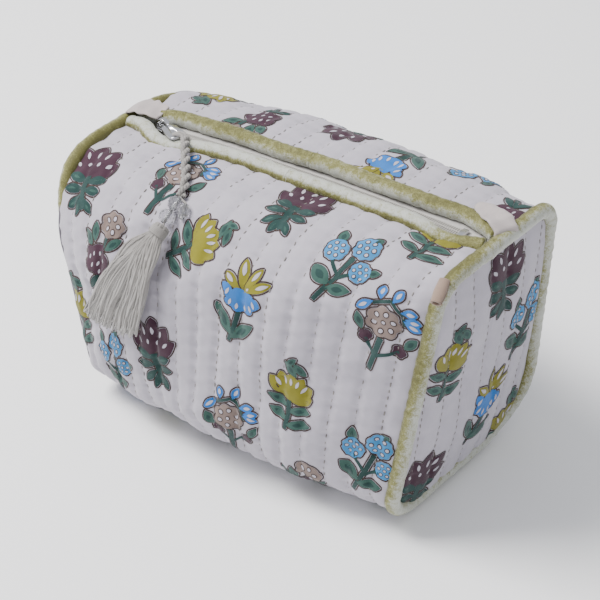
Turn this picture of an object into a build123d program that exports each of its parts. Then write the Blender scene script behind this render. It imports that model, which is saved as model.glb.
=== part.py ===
from build123d import *
import math
import os

os.makedirs("parts", exist_ok=True)

# Quilted cotton makeup bag, lying on its flat bottom.
# +X runs along the zip, from its closed end (left) to its open end (right),
# -Y is the front and +Z is up. The origin is the middle of the footprint, on the floor.
# All sizes are in millimetres.

# ---- overall shape: the centre line of the piping round each end panel ----
length = 235.0
left_height = 128.0
right_height = 152.0
left_top_width = 137.0
right_top_width = 89.0
left_base_width = 139.0
right_base_width = 119.0
left_top_radius = 43.0
right_top_radius = 15.0
left_base_radius = 21.0
right_base_radius = 20.0
left_tuck = 26.0
right_tuck = 16.0

# ---- how far the stuffed cloth stands out past the piping's centre line ----
end_puff = 4.0
middle_puff = 16.0
full_half_length = 60.0
cloth_rise = 1.5

# ---- quilted sandwich ----
cover_thickness = 1.0
wadding_thickness = 2.4
lining_thickness = 0.6

# ---- piping round the ends and welts beside the zip ----
piping_radius = 4.0
piping_core_radius = 2.4
welt_radius = 3.8
welt_core_radius = 2.3
welt_half_length = 110.4

# ---- zip ----
zip_half_length = 114.0
tape_thickness = 0.6
tape_inner = 1.2
tape_outer = 19.0
coil_inner = 0.15
coil_width = 2.9
coil_height = 2.2
coil_right_end = 96.0
stop_length = 3.0
slider_rest = -95.0
slider_half_length = 6.0
slider_half_width = 4.8
slider_plate = 1.3
slider_clearance = 0.2
post_half_width = 0.9
post_length = 3.4
rail_width = 1.2
rail_lift = 0.5
bridge_length = 9.0
bridge_width = 2.8
bridge_height = 4.2
bridge_wall = 1.5
welt_clearance = 0.6

# ---- mouth flaps ----
fold_y = 34.0
flap_half_length = 85.0
flap_clearance = 0.3

# ---- pull tab ----
pin_radius = 0.8
arm_inner = 1.8
arm_width = 1.3
plate_start = 6.2
plate_length = 25.0
plate_half_width = 4.6
plate_thickness = 1.2
window_length = 5.6
window_width = 3.6
window_wall = 2.2

# ---- cotton tabs at the zip's ends, and the loop in the front seam ----
tab_thickness = 2.4
tab_height = 5.2
tab_leg_gap = 0.5
left_tab_width = 17.6
left_tab_length = 14.0
left_tab_y = 4.0
right_tab_width = 13.0
right_tab_length = 29.0
right_tab_y = 10.3
right_tab_root = 5.2
right_tab_turn = 138.0
tab_side_clearance = 0.1
loop_radius = 3.4
loop_bore = 1.7
loop_length = 11.0
loop_x = 110.0
loop_angle = 19.0
loop_clearance = 0.3

# ---- pull cord, beads and tassel ----
cord_radius = 2.2
cord_route = [
    (-68.0, -1.5, 137.9),
    (-64.5, -6.5, 141.4),
    (-58.5, -14.0, 142.6),
    (-51.0, -24.0, 142.0),
    (-44.5, -34.5, 141.6),
    (-39.5, -43.5, 140.8),
    (-36.4, -51.0, 139.0),
]
bead_radius = 3.8
bead_bore = 0.8
bead_thread_radius = 0.7
upper_bead = (-35.0, -55.4, 137.4)
lower_bead = (-32.9, -61.6, 133.6)
side_bead = (-25.9, -57.4, 136.4)
side_bead_radius = 2.7
side_bead_length = 8.4
tassel_top = (-30.8, -67.8, 129.8)
tassel_neck = (-33.2, -73.4, 124.4)
tassel_waist = (-39.0, -83.2, 106.0)
tassel_end = (-56.0, -87.4, 71.0)
neck_radius = 4.0
wrap_thickness = 1.1

wall = cover_thickness + wadding_thickness + lining_thickness
slope = math.atan2(right_height - left_height, length)
under = -wall * math.cos(slope)
welt_y = slider_half_width + welt_clearance + welt_radius
flap_edge = welt_y + welt_radius
plate_top = under + coil_height + slider_clearance + slider_plate
pin_height = plate_top + bridge_height - bridge_wall - pin_radius - slider_clearance

# The plane of the zip: its x runs up the slope along the zip, its z stands out of the cloth.
zip_plane = Plane(
    origin=(0, 0, (left_height + right_height) / 2 + cloth_rise),
    x_dir=(math.cos(slope), 0, math.sin(slope)),
    z_dir=(-math.sin(slope), 0, math.cos(slope)),
)


def along(x, left, right):
    """A size that changes evenly from the left end to the right end."""
    return left + (right - left) * (x + length / 2) / length


def puff(x):
    """How far the filled cloth stands past the piping line at x."""
    if abs(x) <= full_half_length:
        return middle_puff
    share = (length / 2 - abs(x)) / (length / 2 - full_half_length)
    return end_puff + (middle_puff - end_puff) * share


def trapezoid(half_base, half_top, height, base_radius, top_radius, inset):
    """A rounded trapezoid standing on y = 0, with every edge moved inwards by inset."""
    lean = (half_base - half_top) / height
    shift = inset * math.sqrt(1 + lean * lean)
    low = half_base - lean * inset - shift
    high = half_top + lean * inset - shift
    outline = Polyline(
        (-low, inset),
        (low, inset),
        (high, height - inset),
        (-high, height - inset),
        close=True,
    )
    face = make_face(outline)
    corners = face.vertices().sort_by(Axis.Y)
    face = fillet(corners[:2], base_radius - inset)
    corners = face.vertices().sort_by(Axis.Y)
    sharp = [v for v in corners if abs(v.Y - (height - inset)) < 0.001]
    return fillet(sharp, top_radius - inset)


def wall_section(x, inset):
    """The bag's cross-section at x, its surface moved inwards by inset."""
    out = puff(x)
    face = trapezoid(
        along(x, left_base_width, right_base_width) / 2 + out,
        along(x, left_top_width, right_top_width) / 2 + out,
        along(x, left_height, right_height) + cloth_rise,
        along(x, left_base_radius, right_base_radius) + out,
        along(x, left_top_radius, right_top_radius) + out,
        inset,
    )
    return Plane(origin=(x, 0, 0), x_dir=(0, 1, 0), z_dir=(1, 0, 0)) * face


def wall_volume(inset):
    """The whole filled bag, its surface moved inwards by inset."""
    reach = length / 2 + 6
    stations = (-reach, -full_half_length, full_half_length, reach)
    return loft([wall_section(x, inset) for x in stations], ruled=True)


def end_sizes(side):
    """Height, widths, radii and tuck of one end: side is 1 on the right and -1 on the left."""
    if side > 0:
        sizes = (right_height, right_base_width, right_top_width)
        return sizes + (right_base_radius, right_top_radius, right_tuck)
    sizes = (left_height, left_base_width, left_top_width)
    return sizes + (left_base_radius, left_top_radius, left_tuck)


def end_plane(side):
    """The plane of one end panel, x across the bag, y up the panel and z outwards."""
    height, _, _, _, _, tuck = end_sizes(side)
    rise = height - piping_radius
    return Plane(
        origin=(side * (length / 2 - tuck), 0, piping_radius),
        x_dir=(0, side, 0),
        z_dir=(side * rise, 0, -tuck),
    )


def end_outline(side, inset):
    height, base_width, top_width, base_radius, top_radius, tuck = end_sizes(side)
    panel_height = math.hypot(height - piping_radius, tuck)
    return trapezoid(
        base_width / 2, top_width / 2, panel_height, base_radius, top_radius, inset
    )


def end_x(side, z, inset):
    """Where the end panel's plane, moved inwards by inset, crosses the height z."""
    height, _, _, _, _, tuck = end_sizes(side)
    lean = tuck / (height - piping_radius)
    plane_x = length / 2 - tuck + lean * (z - piping_radius)
    return side * (plane_x - inset * math.sqrt(1 + lean * lean))


def between_ends(inset):
    """The space between the two end panels' planes, each moved inwards by inset."""
    low, high = -20, 220
    outline = Polyline(
        (end_x(1, low, inset), low),
        (end_x(1, high, inset), high),
        (end_x(-1, high, inset), high),
        (end_x(-1, low, inset), low),
        close=True,
    )
    return extrude(Plane.XZ * make_face(outline), amount=200, both=True)


def zip_box(u0, u1, y0, y1, w0, w1):
    """A box in the zip's plane, given by its two corners."""
    centre = Pos((u0 + u1) / 2, (y0 + y1) / 2, (w0 + w1) / 2)
    return zip_plane * centre * Box(u1 - u0, y1 - y0, w1 - w0)


def zip_rod(y, w, radius, half_length):
    """A round rod along the zip."""
    rod = Rotation(0, 90, 0) * Cylinder(radius, 2 * half_length)
    return zip_plane * Pos(0, y, w) * rod


def save(shape, name):
    export_step(shape, "parts/" + name + ".step")


# ---- quilted panels: printed cover, wadding and lining, front and back ----
def quilted_panels():
    insets = {
        "panel": (0, cover_thickness),
        "wadding": (cover_thickness, cover_thickness + wadding_thickness),
        "lining": (cover_thickness + wadding_thickness, wall),
    }
    volumes = {inset: wall_volume(inset) for pair in insets.values() for inset in pair}
    body = between_ends(piping_radius)
    reach = length
    deep = 12
    slot = zip_box(-reach, reach, -flap_edge, flap_edge, -deep, deep)
    flap_end = flap_half_length + flap_clearance
    for layer, (outer, inner) in insets.items():
        shell = ((volumes[outer] - volumes[inner]) & body) - slot
        for side, y_sign in (("front", -1), ("back", 1)):
            half = shell & (Pos(0, y_sign * 150, 100) * Box(400, 300, 300))
            y0, y1 = sorted((y_sign * fold_y, 0))
            flap = half & zip_box(-flap_half_length, flap_half_length, y0, y1, -deep, deep)
            rest = half - zip_box(-flap_end, flap_end, y0, y1, -deep, deep)
            save(rest, side + "_" + layer)
            save(flap, side + "_flap_" + layer)


# ---- end panels: the same quilted sandwich, flat inside the piping ----
def end_panels():
    for name, side in (("left", -1), ("right", 1)):
        level = wadding_thickness / 2 - wall / 2 + lining_thickness
        lining_floor = level - wadding_thickness / 2 - lining_thickness
        wadding_floor = lining_floor + lining_thickness
        cover_floor = wadding_floor + wadding_thickness
        outline = end_plane(side) * end_outline(side, piping_radius)
        outwards = end_plane(side).z_dir
        for layer, floor, thick in (
            ("lining", lining_floor, lining_thickness),
            ("wadding", wadding_floor, wadding_thickness),
            ("panel", cover_floor, cover_thickness),
        ):
            slab = extrude(outline, amount=thick, dir=outwards)
            move = outwards * floor
            save(Pos(move.X, move.Y, move.Z) * slab, "end_" + layer + "_" + name)


# ---- piping: a velvet tube round a cotton cord, sewn round each end panel ----
def end_piping():
    for name, side in (("left", -1), ("right", 1)):
        path = (end_plane(side) * end_outline(side, 0)).face().outer_wire()
        start = Plane(origin=path @ 0, z_dir=path % 0)
        tube = sweep(start * Circle(piping_radius), path=path)
        core = sweep(start * Circle(piping_core_radius), path=path)
        save(tube - core, "end_piping_" + name)
        save(core, "piping_cord_" + name)


# ---- welts: two velvet rolls, one along each side of the zip ----
def zip_welts():
    for name, y_sign in (("front", -1), ("back", 1)):
        level = under + welt_radius
        roll = zip_rod(y_sign * welt_y, level, welt_radius, welt_half_length)
        core = zip_rod(y_sign * welt_y, level, welt_core_radius, welt_half_length)
        save(roll - core, "zip_welt_" + name)
        save(core, "welt_cord_" + name)


# ---- zip: two tapes, two coils of teeth, and the stops at its ends ----
def zip_tapes():
    coil_left_end = slider_rest - slider_half_length + post_length + 0.4
    for name, y_sign in (("front", -1), ("back", 1)):
        y0, y1 = sorted((y_sign * tape_inner, y_sign * tape_outer))
        tape = zip_box(-zip_half_length, zip_half_length, y0, y1, under - tape_thickness, under)
        save(tape & between_ends(piping_radius), "zip_tape_" + name)
        y0, y1 = sorted((y_sign * coil_inner, y_sign * (coil_inner + coil_width)))
        coil = zip_box(coil_left_end, coil_right_end, y0, y1, under, under + coil_height)
        save(coil, "zip_teeth_" + name)
        left = slider_rest - slider_half_length - 1
        y0, y1 = sorted((y_sign * tape_inner, y_sign * (coil_inner + coil_width)))
        stop = zip_box(left - stop_length, left, y0, y1, under, under + coil_height)
        save(stop, "zip_top_stop_" + name)
    right = coil_right_end + 0.2
    wide = coil_inner + coil_width
    stop = zip_box(right, right + stop_length, -wide, wide, under, under + coil_height)
    save(stop, "zip_bottom_stop")


# ---- slider: two plates joined by a post, with a bridge that holds the pull ----
def zip_slider():
    u0 = slider_rest - slider_half_length
    u1 = slider_rest + slider_half_length
    wide = slider_half_width
    top = zip_box(u0, u1, -wide, wide, plate_top - slider_plate, plate_top)
    tape_bottom = under - tape_thickness - slider_clearance
    bottom = zip_box(u0, u1, -wide, wide, tape_bottom - slider_plate, tape_bottom)
    post_end = u0 + post_length
    post = zip_box(u0, post_end, -post_half_width, post_half_width, tape_bottom, plate_top)
    body = top + bottom + post
    for y_sign in (-1, 1):
        y0, y1 = sorted((y_sign * (wide - rail_width), y_sign * wide))
        body += zip_box(u0, u1, y0, y1, under + rail_lift, plate_top)
    save(body, "slider_body")
    half = bridge_length / 2
    width = bridge_width / 2
    left, right = slider_rest - half, slider_rest + half
    arch = zip_box(left, right, -width, width, plate_top, plate_top + bridge_height)
    window_top = plate_top + bridge_height - bridge_wall
    inner_left, inner_right = left + bridge_wall, right - bridge_wall
    arch -= zip_box(inner_left, inner_right, -width, width, plate_top, window_top)
    save(arch, "slider_bridge")


# ---- pull tab: a flat plate on two arms, whose pin passes through the bridge ----
def pull_tab():
    pin_half = arm_inner + arm_width
    centre = slider_rest
    pin = zip_plane * Pos(centre, 0, pin_height)
    pin = pin * (Rotation(90, 0, 0) * Cylinder(pin_radius, 2 * pin_half))
    low = pin_height - plate_thickness / 2
    high = pin_height + plate_thickness / 2
    tab = pin
    for y_sign in (-1, 1):
        y0, y1 = sorted((y_sign * arm_inner, y_sign * pin_half))
        tab += zip_box(centre, centre + plate_start + 1, y0, y1, low, high)
    half = plate_half_width
    length_left = plate_length - plate_start
    plate = Box(length_left, 2 * half, plate_thickness)
    plate = fillet(plate.edges().filter_by(Axis.Z), half * 0.4)
    window_centre = length_left / 2 - window_wall - window_length / 2
    hole = Pos(window_centre, 0, 0) * Box(window_length, window_width, plate_thickness)
    plate = plate - hole
    middle = centre + plate_start + length_left / 2
    tab += zip_plane * Pos(middle, 0, pin_height) * plate
    save(tab, "pull_tab")


# ---- folded cotton tabs sewn into the end seams, lying over the zip's ends ----
def zip_tabs():
    leg_u = welt_half_length + tab_leg_gap
    low, high = tab_height, tab_height + tab_thickness
    y0 = left_tab_y - left_tab_width / 2
    y1 = left_tab_y + left_tab_width / 2
    left = zip_box(-leg_u - tab_thickness, -leg_u + left_tab_length - tab_thickness, y0, y1, low, high)
    left += zip_box(-leg_u - tab_thickness, -leg_u, y0, y1, under, high)
    save(left, "zip_tab_left")
    root_end = flap_edge - tab_side_clearance
    leg = zip_box(leg_u, leg_u + tab_thickness, right_tab_root, root_end, under, high)
    strip = Pos(right_tab_length / 2, 0, (low + high) / 2)
    strip = strip * Box(right_tab_length, right_tab_width, tab_thickness)
    place = zip_plane * Pos(leg_u, right_tab_y, 0) * Rotation(0, 0, right_tab_turn)
    strip = place * strip
    save(leg + (strip & zip_box(0, leg_u + tab_thickness, -60, 60, 0, 20)), "zip_tab_right")


# ---- side loop: a rolled cotton strip lying on the front shoulder beside the piping ----
def side_loop():
    out = puff(loop_x)
    corner = along(loop_x, left_top_radius, right_top_radius) + out
    half_base = along(loop_x, left_base_width, right_base_width) / 2 + out
    half_top = along(loop_x, left_top_width, right_top_width) / 2 + out
    height = along(loop_x, left_height, right_height) + cloth_rise
    side_lean = math.atan2(half_base - half_top, height)
    corner_y = half_top - corner * math.tan((math.pi / 2 - side_lean) / 2)
    reach = corner + loop_radius + loop_clearance
    angle = math.radians(loop_angle)
    place = (loop_x, -corner_y - reach * math.cos(angle), height - corner + reach * math.sin(angle))
    ring = Cylinder(loop_radius, loop_length) - Cylinder(loop_bore, loop_length)
    stand = Plane(origin=place, x_dir=(1, 0, 0), z_dir=(0, -math.sin(angle), -math.cos(angle)))
    save(stand * ring, "side_loop")


# ---- pull cord: straight runs joined by tangent arcs ----
def pull_cord():
    points = [Vector(*p) for p in cord_route]
    radii = []
    for before, here, after in zip(points, points[1:], points[2:]):
        arrive = here - before
        leave = after - here
        turn = math.radians(arrive.get_angle(leave))
        shorter = min(arrive.length, leave.length)
        radii.append(0.45 * shorter / math.tan(turn / 2))
    path = FilletPolyline(*cord_route, radius=radii)
    start = Plane(origin=path @ 0, z_dir=path % 0)
    cord = sweep(start * Circle(cord_radius), path=path.wire())
    expected = math.pi * cord_radius**2 * path.length
    print("cord radii", [round(r, 1) for r in radii])
    print("cord length", round(path.length, 1), "volume", round(cord.volume), round(expected))
    save(cord, "pull_cord")


def towards(start, end):
    """A plane at start whose z points at end and whose x lies along the bag's front."""
    direction = (Vector(*end) - Vector(*start)).normalized()
    across = Vector(0, -1, 0).cross(direction).normalized()
    return Plane(origin=start, x_dir=across, z_dir=direction)


def faceted_bead(radius, half_length, sides):
    """A cut glass bead, bored along its z: rings of facets round a waist."""
    rings = []
    for share, level in ((0.45, -1.0), (1.0, -0.35), (1.0, 0.35), (0.45, 1.0)):
        ring = RegularPolygon(radius * share, sides)
        rings.append(Pos(0, 0, half_length * level) * ring)
    return loft(rings, ruled=True) - Cylinder(bead_bore, 4 * half_length)


def beads():
    line = towards(upper_bead, lower_bead)
    gap = (Vector(*lower_bead) - Vector(*upper_bead)).length
    half = gap / 2 - 0.05
    save(line * faceted_bead(bead_radius, half, 8), "bead_upper")
    save(line * Pos(0, 0, gap) * faceted_bead(bead_radius * 0.96, half, 8), "bead_lower")
    side = Plane(origin=side_bead, x_dir=(1, 0, 0), z_dir=(0.12, -0.62, -0.78))
    save(side * faceted_bead(side_bead_radius, side_bead_length / 2, 6), "bead_side")
    reach = gap + half
    thread = Pos(0, 0, (reach - half) / 2) * Cylinder(bead_thread_radius, reach + half)
    save(line * thread, "bead_thread")


# ---- tassel: a bundle of cotton threads bound at its neck ----
def tassel():
    top = towards(tassel_top, tassel_neck)
    neck_length = (Vector(*tassel_neck) - Vector(*tassel_top)).length
    head = top * Pos(0, 0, 0.6) * Sphere(neck_radius * 0.9)
    head = head + top * Pos(0, 0, neck_length / 2) * Cylinder(neck_radius * 0.8, neck_length)
    waist = towards(tassel_neck, tassel_waist)
    hem = towards(tassel_waist, tassel_end)
    sections = [
        waist * Ellipse(neck_radius + wrap_thickness, neck_radius),
        Plane(origin=tassel_waist, x_dir=hem.x_dir, z_dir=hem.z_dir) * Ellipse(9.5, 5.4),
        Plane(origin=tassel_end, x_dir=hem.x_dir, z_dir=hem.z_dir) * Ellipse(15.5, 5.2),
    ]
    skirt = loft(sections, ruled=True)
    save(head + skirt, "tassel_skirt")
    band = Pos(0, 0, neck_length * 0.52)
    outer = Cylinder(neck_radius * 0.8 + wrap_thickness, neck_length * 0.4)
    inner = Cylinder(neck_radius * 0.8, neck_length * 0.4)
    save(top * band * (outer - inner), "tassel_wrap")


quilted_panels()
end_panels()
end_piping()
zip_welts()
zip_tapes()
zip_slider()
pull_tab()
zip_tabs()
side_loop()
pull_cord()
beads()
tassel()
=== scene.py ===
import math

import bmesh
import bpy
import numpy as np
from mathutils import Matrix, Vector


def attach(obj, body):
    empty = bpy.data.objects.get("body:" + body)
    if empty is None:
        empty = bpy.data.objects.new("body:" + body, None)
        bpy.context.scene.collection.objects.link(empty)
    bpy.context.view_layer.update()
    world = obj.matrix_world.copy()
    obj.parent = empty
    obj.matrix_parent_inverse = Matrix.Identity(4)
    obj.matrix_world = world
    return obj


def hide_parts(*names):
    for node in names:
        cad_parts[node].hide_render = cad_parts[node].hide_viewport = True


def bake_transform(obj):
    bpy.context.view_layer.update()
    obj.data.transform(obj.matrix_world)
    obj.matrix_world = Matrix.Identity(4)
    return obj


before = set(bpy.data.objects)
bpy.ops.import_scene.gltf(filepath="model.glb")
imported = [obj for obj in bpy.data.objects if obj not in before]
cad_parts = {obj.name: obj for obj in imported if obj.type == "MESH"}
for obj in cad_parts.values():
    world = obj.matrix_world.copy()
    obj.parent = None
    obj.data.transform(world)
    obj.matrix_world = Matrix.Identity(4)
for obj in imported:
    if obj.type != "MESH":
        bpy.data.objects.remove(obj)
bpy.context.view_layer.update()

# Quilted makeup bag. +X runs along the zip to its open end, -Y is the front, +Z is up.
# Lengths are written in millimetres and multiplied by MM where a mesh is made.
MM = 0.001


# ---- Bag cloth -----------------------------------------------------------------------
# One quilted cotton cloth wraps the bag from one side of the zip, under the bottom, to the
# other. Filled, it stands out between the two end rings; the zip's closed end has slumped.
HALF_LENGTH = 117.5
ZIP_EDGE = 8.0
FOLD = 34.0
CHANNEL = 14.0
FIRST_SEAM = 7.0
STITCH = 4.4
PIPING_RADIUS = 4.0
# what differs between the left end (-1) and the right end (+1): the height of the end ring over
# its base, and how far the panel draws in for each mm down; the left end's foot also slumps in
END_HEIGHT = {-1: 124.0, 1: 148.0}
END_TUCK = {-1: 0.213, 1: 0.11}
LEFT_SLUMP = 4.5
ENDS = ((-1, "left"), (1, "right"))
QUARTERS = [(t_side, face, *end) for t_side, face in ((-1, "front"), (1, "back")) for end in ENDS]


def between(left, right, along):
    """A size that changes evenly from the left ring (along = -1) to the right ring (+1)."""
    return left + (right - left) * (1 + along) / 2


def ring_profile(along, back=0):
    """Lengths and turns of half the cloth's outline, from the zip to the middle of the base."""
    fill = 1 - along**2
    out = 17.2 * np.clip(fill, 0, 1) ** 0.75
    top = between(68.5, 44.5, along) + out
    base = between(69.5, 59.5, along) + out
    height = between(END_HEIGHT[-1], END_HEIGHT[1], along) + 3.8 * fill
    shoulder = between(43, 15, along) + out
    hip = between(21, 20, along) + out + back * between(4, 17, along)
    lean = np.arctan2(base - top, height)
    turn_top, turn_base = np.pi / 2 - lean, np.pi / 2 + lean
    cut_top, cut_base = shoulder * np.tan(turn_top / 2), hip * np.tan(turn_base / 2)
    flat_top = top - cut_top
    side = np.hypot(height, base - top) - cut_top - cut_base
    flat_base = base - cut_base
    return height, shoulder, hip, lean, turn_top, turn_base, flat_top, side, flat_base


def half_girth(along, back=0):
    """Length of the cloth's outline from the zip to the middle of the base."""
    _, shoulder, hip, _, turn_top, turn_base, flat_top, side, flat_base = ring_profile(along, back)
    return flat_top + shoulder * turn_top + side + hip * turn_base + flat_base


def smooth_cloth(a, t):
    """Place of the unquilted cloth, a mm along the bag and t mm round it from the zip."""
    along = a / HALF_LENGTH
    height, shoulder, hip, lean, turn_top, turn_base, flat_top, side, _ = ring_profile(along, t > 0)
    s = np.abs(t)
    y = np.minimum(s, flat_top)
    z = height + 0 * s
    s = s - flat_top
    bend = np.clip(s / shoulder, 0, turn_top)
    y = y + shoulder * np.sin(bend)
    z = z - shoulder * (1 - np.cos(bend))
    s = s - shoulder * turn_top
    run = np.clip(s, 0, side)
    y = y + run * np.sin(lean)
    z = z - run * np.cos(lean)
    s = s - side
    bend = np.clip(s / hip, 0, turn_base)
    y = y + hip * (np.cos(lean - bend) - np.cos(lean))
    z = z - hip * (np.sin(lean) - np.sin(lean - bend))
    y = y - np.maximum(s - hip * turn_base, 0)
    tuck = np.where(along > 0, END_TUCK[1], END_TUCK[-1])
    x = along * (HALF_LENGTH + tuck * np.minimum(z - height, 0))
    near_left = np.clip(-along - 0.55, 0, 1) / 0.45
    x = x + LEFT_SLUMP * near_left * np.clip((height - z) / 50, 0, 1)
    sag = 3.4 * np.clip((1 - along**2) * 1.6, 0, 1) * np.clip(1 - z / 30, 0, 1) ** 2
    return np.stack([x, np.where(t < 0, -y, y), PIPING_RADIUS + z - sag], -1)


def ripple(a, t, seed):
    """Soft irregular waves between -1 and 1."""
    total = 0.0
    for k in range(5):
        turn = seed * 1.7 + k * 2.39
        size = 0.055 * (1.32**k)
        total = total + np.sin(size * (a * np.cos(turn) + t * np.sin(turn)) + seed * 3.1 + k)
    return total / 3.2


def seam_distance(a):
    """Distance along the bag to the nearest line of quilting."""
    place = np.mod(a - FIRST_SEAM, CHANNEL)
    return np.minimum(place, CHANNEL - place)


def quilting(a, t):
    """How far the cloth rises or sinks: channels, puckers at the stitches, and soft creases."""
    seam = seam_distance(a)
    row = np.round((a - FIRST_SEAM) / CHANNEL)
    to_ring = HALF_LENGTH - np.abs(a)
    to_zip = np.abs(t) - ZIP_EDGE
    # the valley along each line of stitches, with a dip at every stitch and puckers beside it
    valley = np.exp(-((seam / 2.4) ** 2))
    depth = (1.5 + 0.3 * ripple(a, t * 1.3, 4)) * np.clip((np.abs(t) + 30) / 130, 0.5, 1)
    rise = -depth * valley + 0.18 * np.sin(2 * np.pi * t / STITCH + row) * valley
    pucker = np.sin(2 * np.pi * t / (2 * STITCH) + row * 1.9 + 1.3 * np.sin(t / 23 + row))
    rise = rise + 0.34 * pucker * np.exp(-((seam / 4.5) ** 2))
    # gathers at the seams with the end rings and with the zip's welts
    gather = np.sin(t / 4.1 + 2.2 * np.sin(t / 19 + 1) + np.sign(a) * 0.8)
    rise = rise + 0.8 * gather * np.exp(-((to_ring / 9) ** 2)) * np.clip(to_ring / 4, 0, 1)
    rise = rise + 0.45 * np.sin(a / 3.7 + 2 * np.sin(a / 21)) * np.exp(-((to_zip / 7) ** 2))
    # soft unevenness, a slung fold at the front's left shoulder and a crease low at its right
    soft = 1.5 * ripple(a, t, 1) + 0.9 * ripple(a * 1.2, t * 2.6, 2)
    sling = t + 62 - 0.55 * (a + 100)
    soft = soft + 1.6 * np.exp(-((sling / 7) ** 2)) * np.exp(-(((a + 84) / 26) ** 2)) * (t < 0)
    crease = t + 142 + 0.05 * a
    soft = soft - 1.7 * np.exp(-((crease / 3.2) ** 2)) * np.exp(-(((a - 104) / 22) ** 2)) * (t < 0)
    return rise + soft * np.clip(to_ring / 22, 0, 1) * np.clip((np.abs(t) - 20) / 30, 0.15, 1)


def cloth(a, t, lift=0.0):
    """Place of the quilted cloth in metres, lifted by so many mm off its outer face."""
    a, t = np.broadcast_arrays(np.asarray(a, float), np.asarray(t, float))
    step = 0.6
    here = smooth_cloth(a, t)
    go_a = smooth_cloth(np.clip(a + step, -HALF_LENGTH, HALF_LENGTH), t)
    go_a = go_a - smooth_cloth(np.clip(a - step, -HALF_LENGTH, HALF_LENGTH), t)
    side = np.where(t < 0, -1.0, 1.0)
    far = np.where(np.abs(t) < 1, side, t)
    go_t = smooth_cloth(a, far + step) - smooth_cloth(a, far - step)
    out = np.cross(go_a, go_t)
    out /= np.linalg.norm(out, axis=-1, keepdims=True)
    place = here + out * (quilting(a, t) + lift)[..., None]
    place[..., 2] = np.maximum(place[..., 2], 0.3 - 0.2 * lift)
    return place * MM


def grid_mesh(name, points, flip=False):
    """A mesh from a sheet of points, rows by columns."""
    rows, columns = points.shape[:2]
    work = bmesh.new()
    bmesh.ops.create_grid(work, x_segments=columns - 1, y_segments=rows - 1, size=0.5)
    work.verts.ensure_lookup_table()
    flat = points.reshape(-1, 3)
    for vert, place in zip(work.verts, flat):
        vert.co = place
    if flip:
        bmesh.ops.reverse_faces(work, faces=work.faces)
    mesh = bpy.data.meshes.new(name)
    work.to_mesh(mesh)
    work.free()
    mesh.shade_smooth()
    return mesh


def new_piece(name, mesh, *finishes):
    """An object at the origin with its mesh and materials, linked to the scene."""
    piece = bpy.data.objects.new(name, mesh)
    bpy.context.scene.collection.objects.link(piece)
    for finish in finishes:
        mesh.materials.append(finish)
    return piece


def node(tree, kind, **values):
    """A shader node, with its sockets' values and its settings given by keyword."""
    made = tree.nodes.new(kind)
    for key, value in values.items():
        if key in made.inputs.keys():
            made.inputs[key].default_value = value
        else:
            setattr(made, key, value)
    return made


def weave_group():
    """Woven cotton: a fine over-and-under thread height and a soft patchiness, both 0 to 1."""
    group = bpy.data.node_groups.new("cotton weave", "ShaderNodeTree")
    face = group.interface
    face.new_socket("Thread Spacing", in_out="INPUT", socket_type="NodeSocketFloat")
    face.new_socket("Height", in_out="OUTPUT", socket_type="NodeSocketFloat")
    face.new_socket("Patch", in_out="OUTPUT", socket_type="NodeSocketFloat")
    inside = node(group, "NodeGroupInput")
    outside = node(group, "NodeGroupOutput")
    place = node(group, "ShaderNodeTexCoord")
    divide = node(group, "ShaderNodeVectorMath", operation="DIVIDE")
    group.links.new(place.outputs["Object"], divide.inputs[0])
    group.links.new(inside.outputs["Thread Spacing"], divide.inputs[1])
    wave = []
    for direction in ("X", "Z"):
        threads = node(group, "ShaderNodeTexWave", wave_type="BANDS", bands_direction=direction)
        for socket, value in (("Scale", 0.5), ("Distortion", 1.2), ("Detail", 1.0)):
            threads.inputs[socket].default_value = value
        group.links.new(divide.outputs["Vector"], threads.inputs["Vector"])
        wave.append(threads)
    both = node(group, "ShaderNodeMath", operation="MULTIPLY")
    group.links.new(wave[0].outputs["Fac"], both.inputs[0])
    group.links.new(wave[1].outputs["Fac"], both.inputs[1])
    crinkle = node(
        group, "ShaderNodeTexNoise", Scale=230.0, Detail=4.0, Roughness=0.6, Distortion=0.7
    )
    group.links.new(place.outputs["Object"], crinkle.inputs["Vector"])
    raised = node(group, "ShaderNodeMath", operation="MULTIPLY_ADD")
    group.links.new(crinkle.outputs["Fac"], raised.inputs[0])
    raised.inputs[1].default_value = 3.0
    group.links.new(both.outputs["Value"], raised.inputs[2])
    patch = node(group, "ShaderNodeTexNoise", Scale=95.0, Detail=4.0, Roughness=0.6)
    group.links.new(place.outputs["Object"], patch.inputs["Vector"])
    group.links.new(raised.outputs["Value"], outside.inputs["Height"])
    group.links.new(patch.outputs["Fac"], outside.inputs["Patch"])
    return group


WEAVE = weave_group()


def cotton(name, light, dark, rough=0.85, sheen=0.25, bump=0.25, spacing=0.0006):
    """A woven cotton finish whose colour drifts between two near shades."""
    finish = bpy.data.materials.new(name)
    finish.use_nodes = True
    tree = finish.node_tree
    shader = tree.nodes["Principled BSDF"]
    shader.inputs["Roughness"].default_value = rough
    shader.inputs["Sheen Weight"].default_value = sheen
    shader.inputs["Sheen Roughness"].default_value = 0.5
    shader.inputs["Specular IOR Level"].default_value = 0.2
    weave = node(tree, "ShaderNodeGroup", node_tree=WEAVE)
    weave.inputs["Thread Spacing"].default_value = spacing
    tint = node(tree, "ShaderNodeValToRGB")
    tint.color_ramp.elements[0].position = 0.3
    tint.color_ramp.elements[1].position = 0.7
    tint.color_ramp.elements[0].color = (*dark, 1)
    tint.color_ramp.elements[1].color = (*light, 1)
    relief = node(tree, "ShaderNodeBump", Strength=bump, Distance=0.0002)
    tree.links.new(weave.outputs["Patch"], tint.inputs["Fac"])
    tree.links.new(tint.outputs["Color"], shader.inputs["Base Color"])
    tree.links.new(weave.outputs["Height"], relief.inputs["Height"])
    tree.links.new(relief.outputs["Normal"], shader.inputs["Normal"])
    return finish


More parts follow.
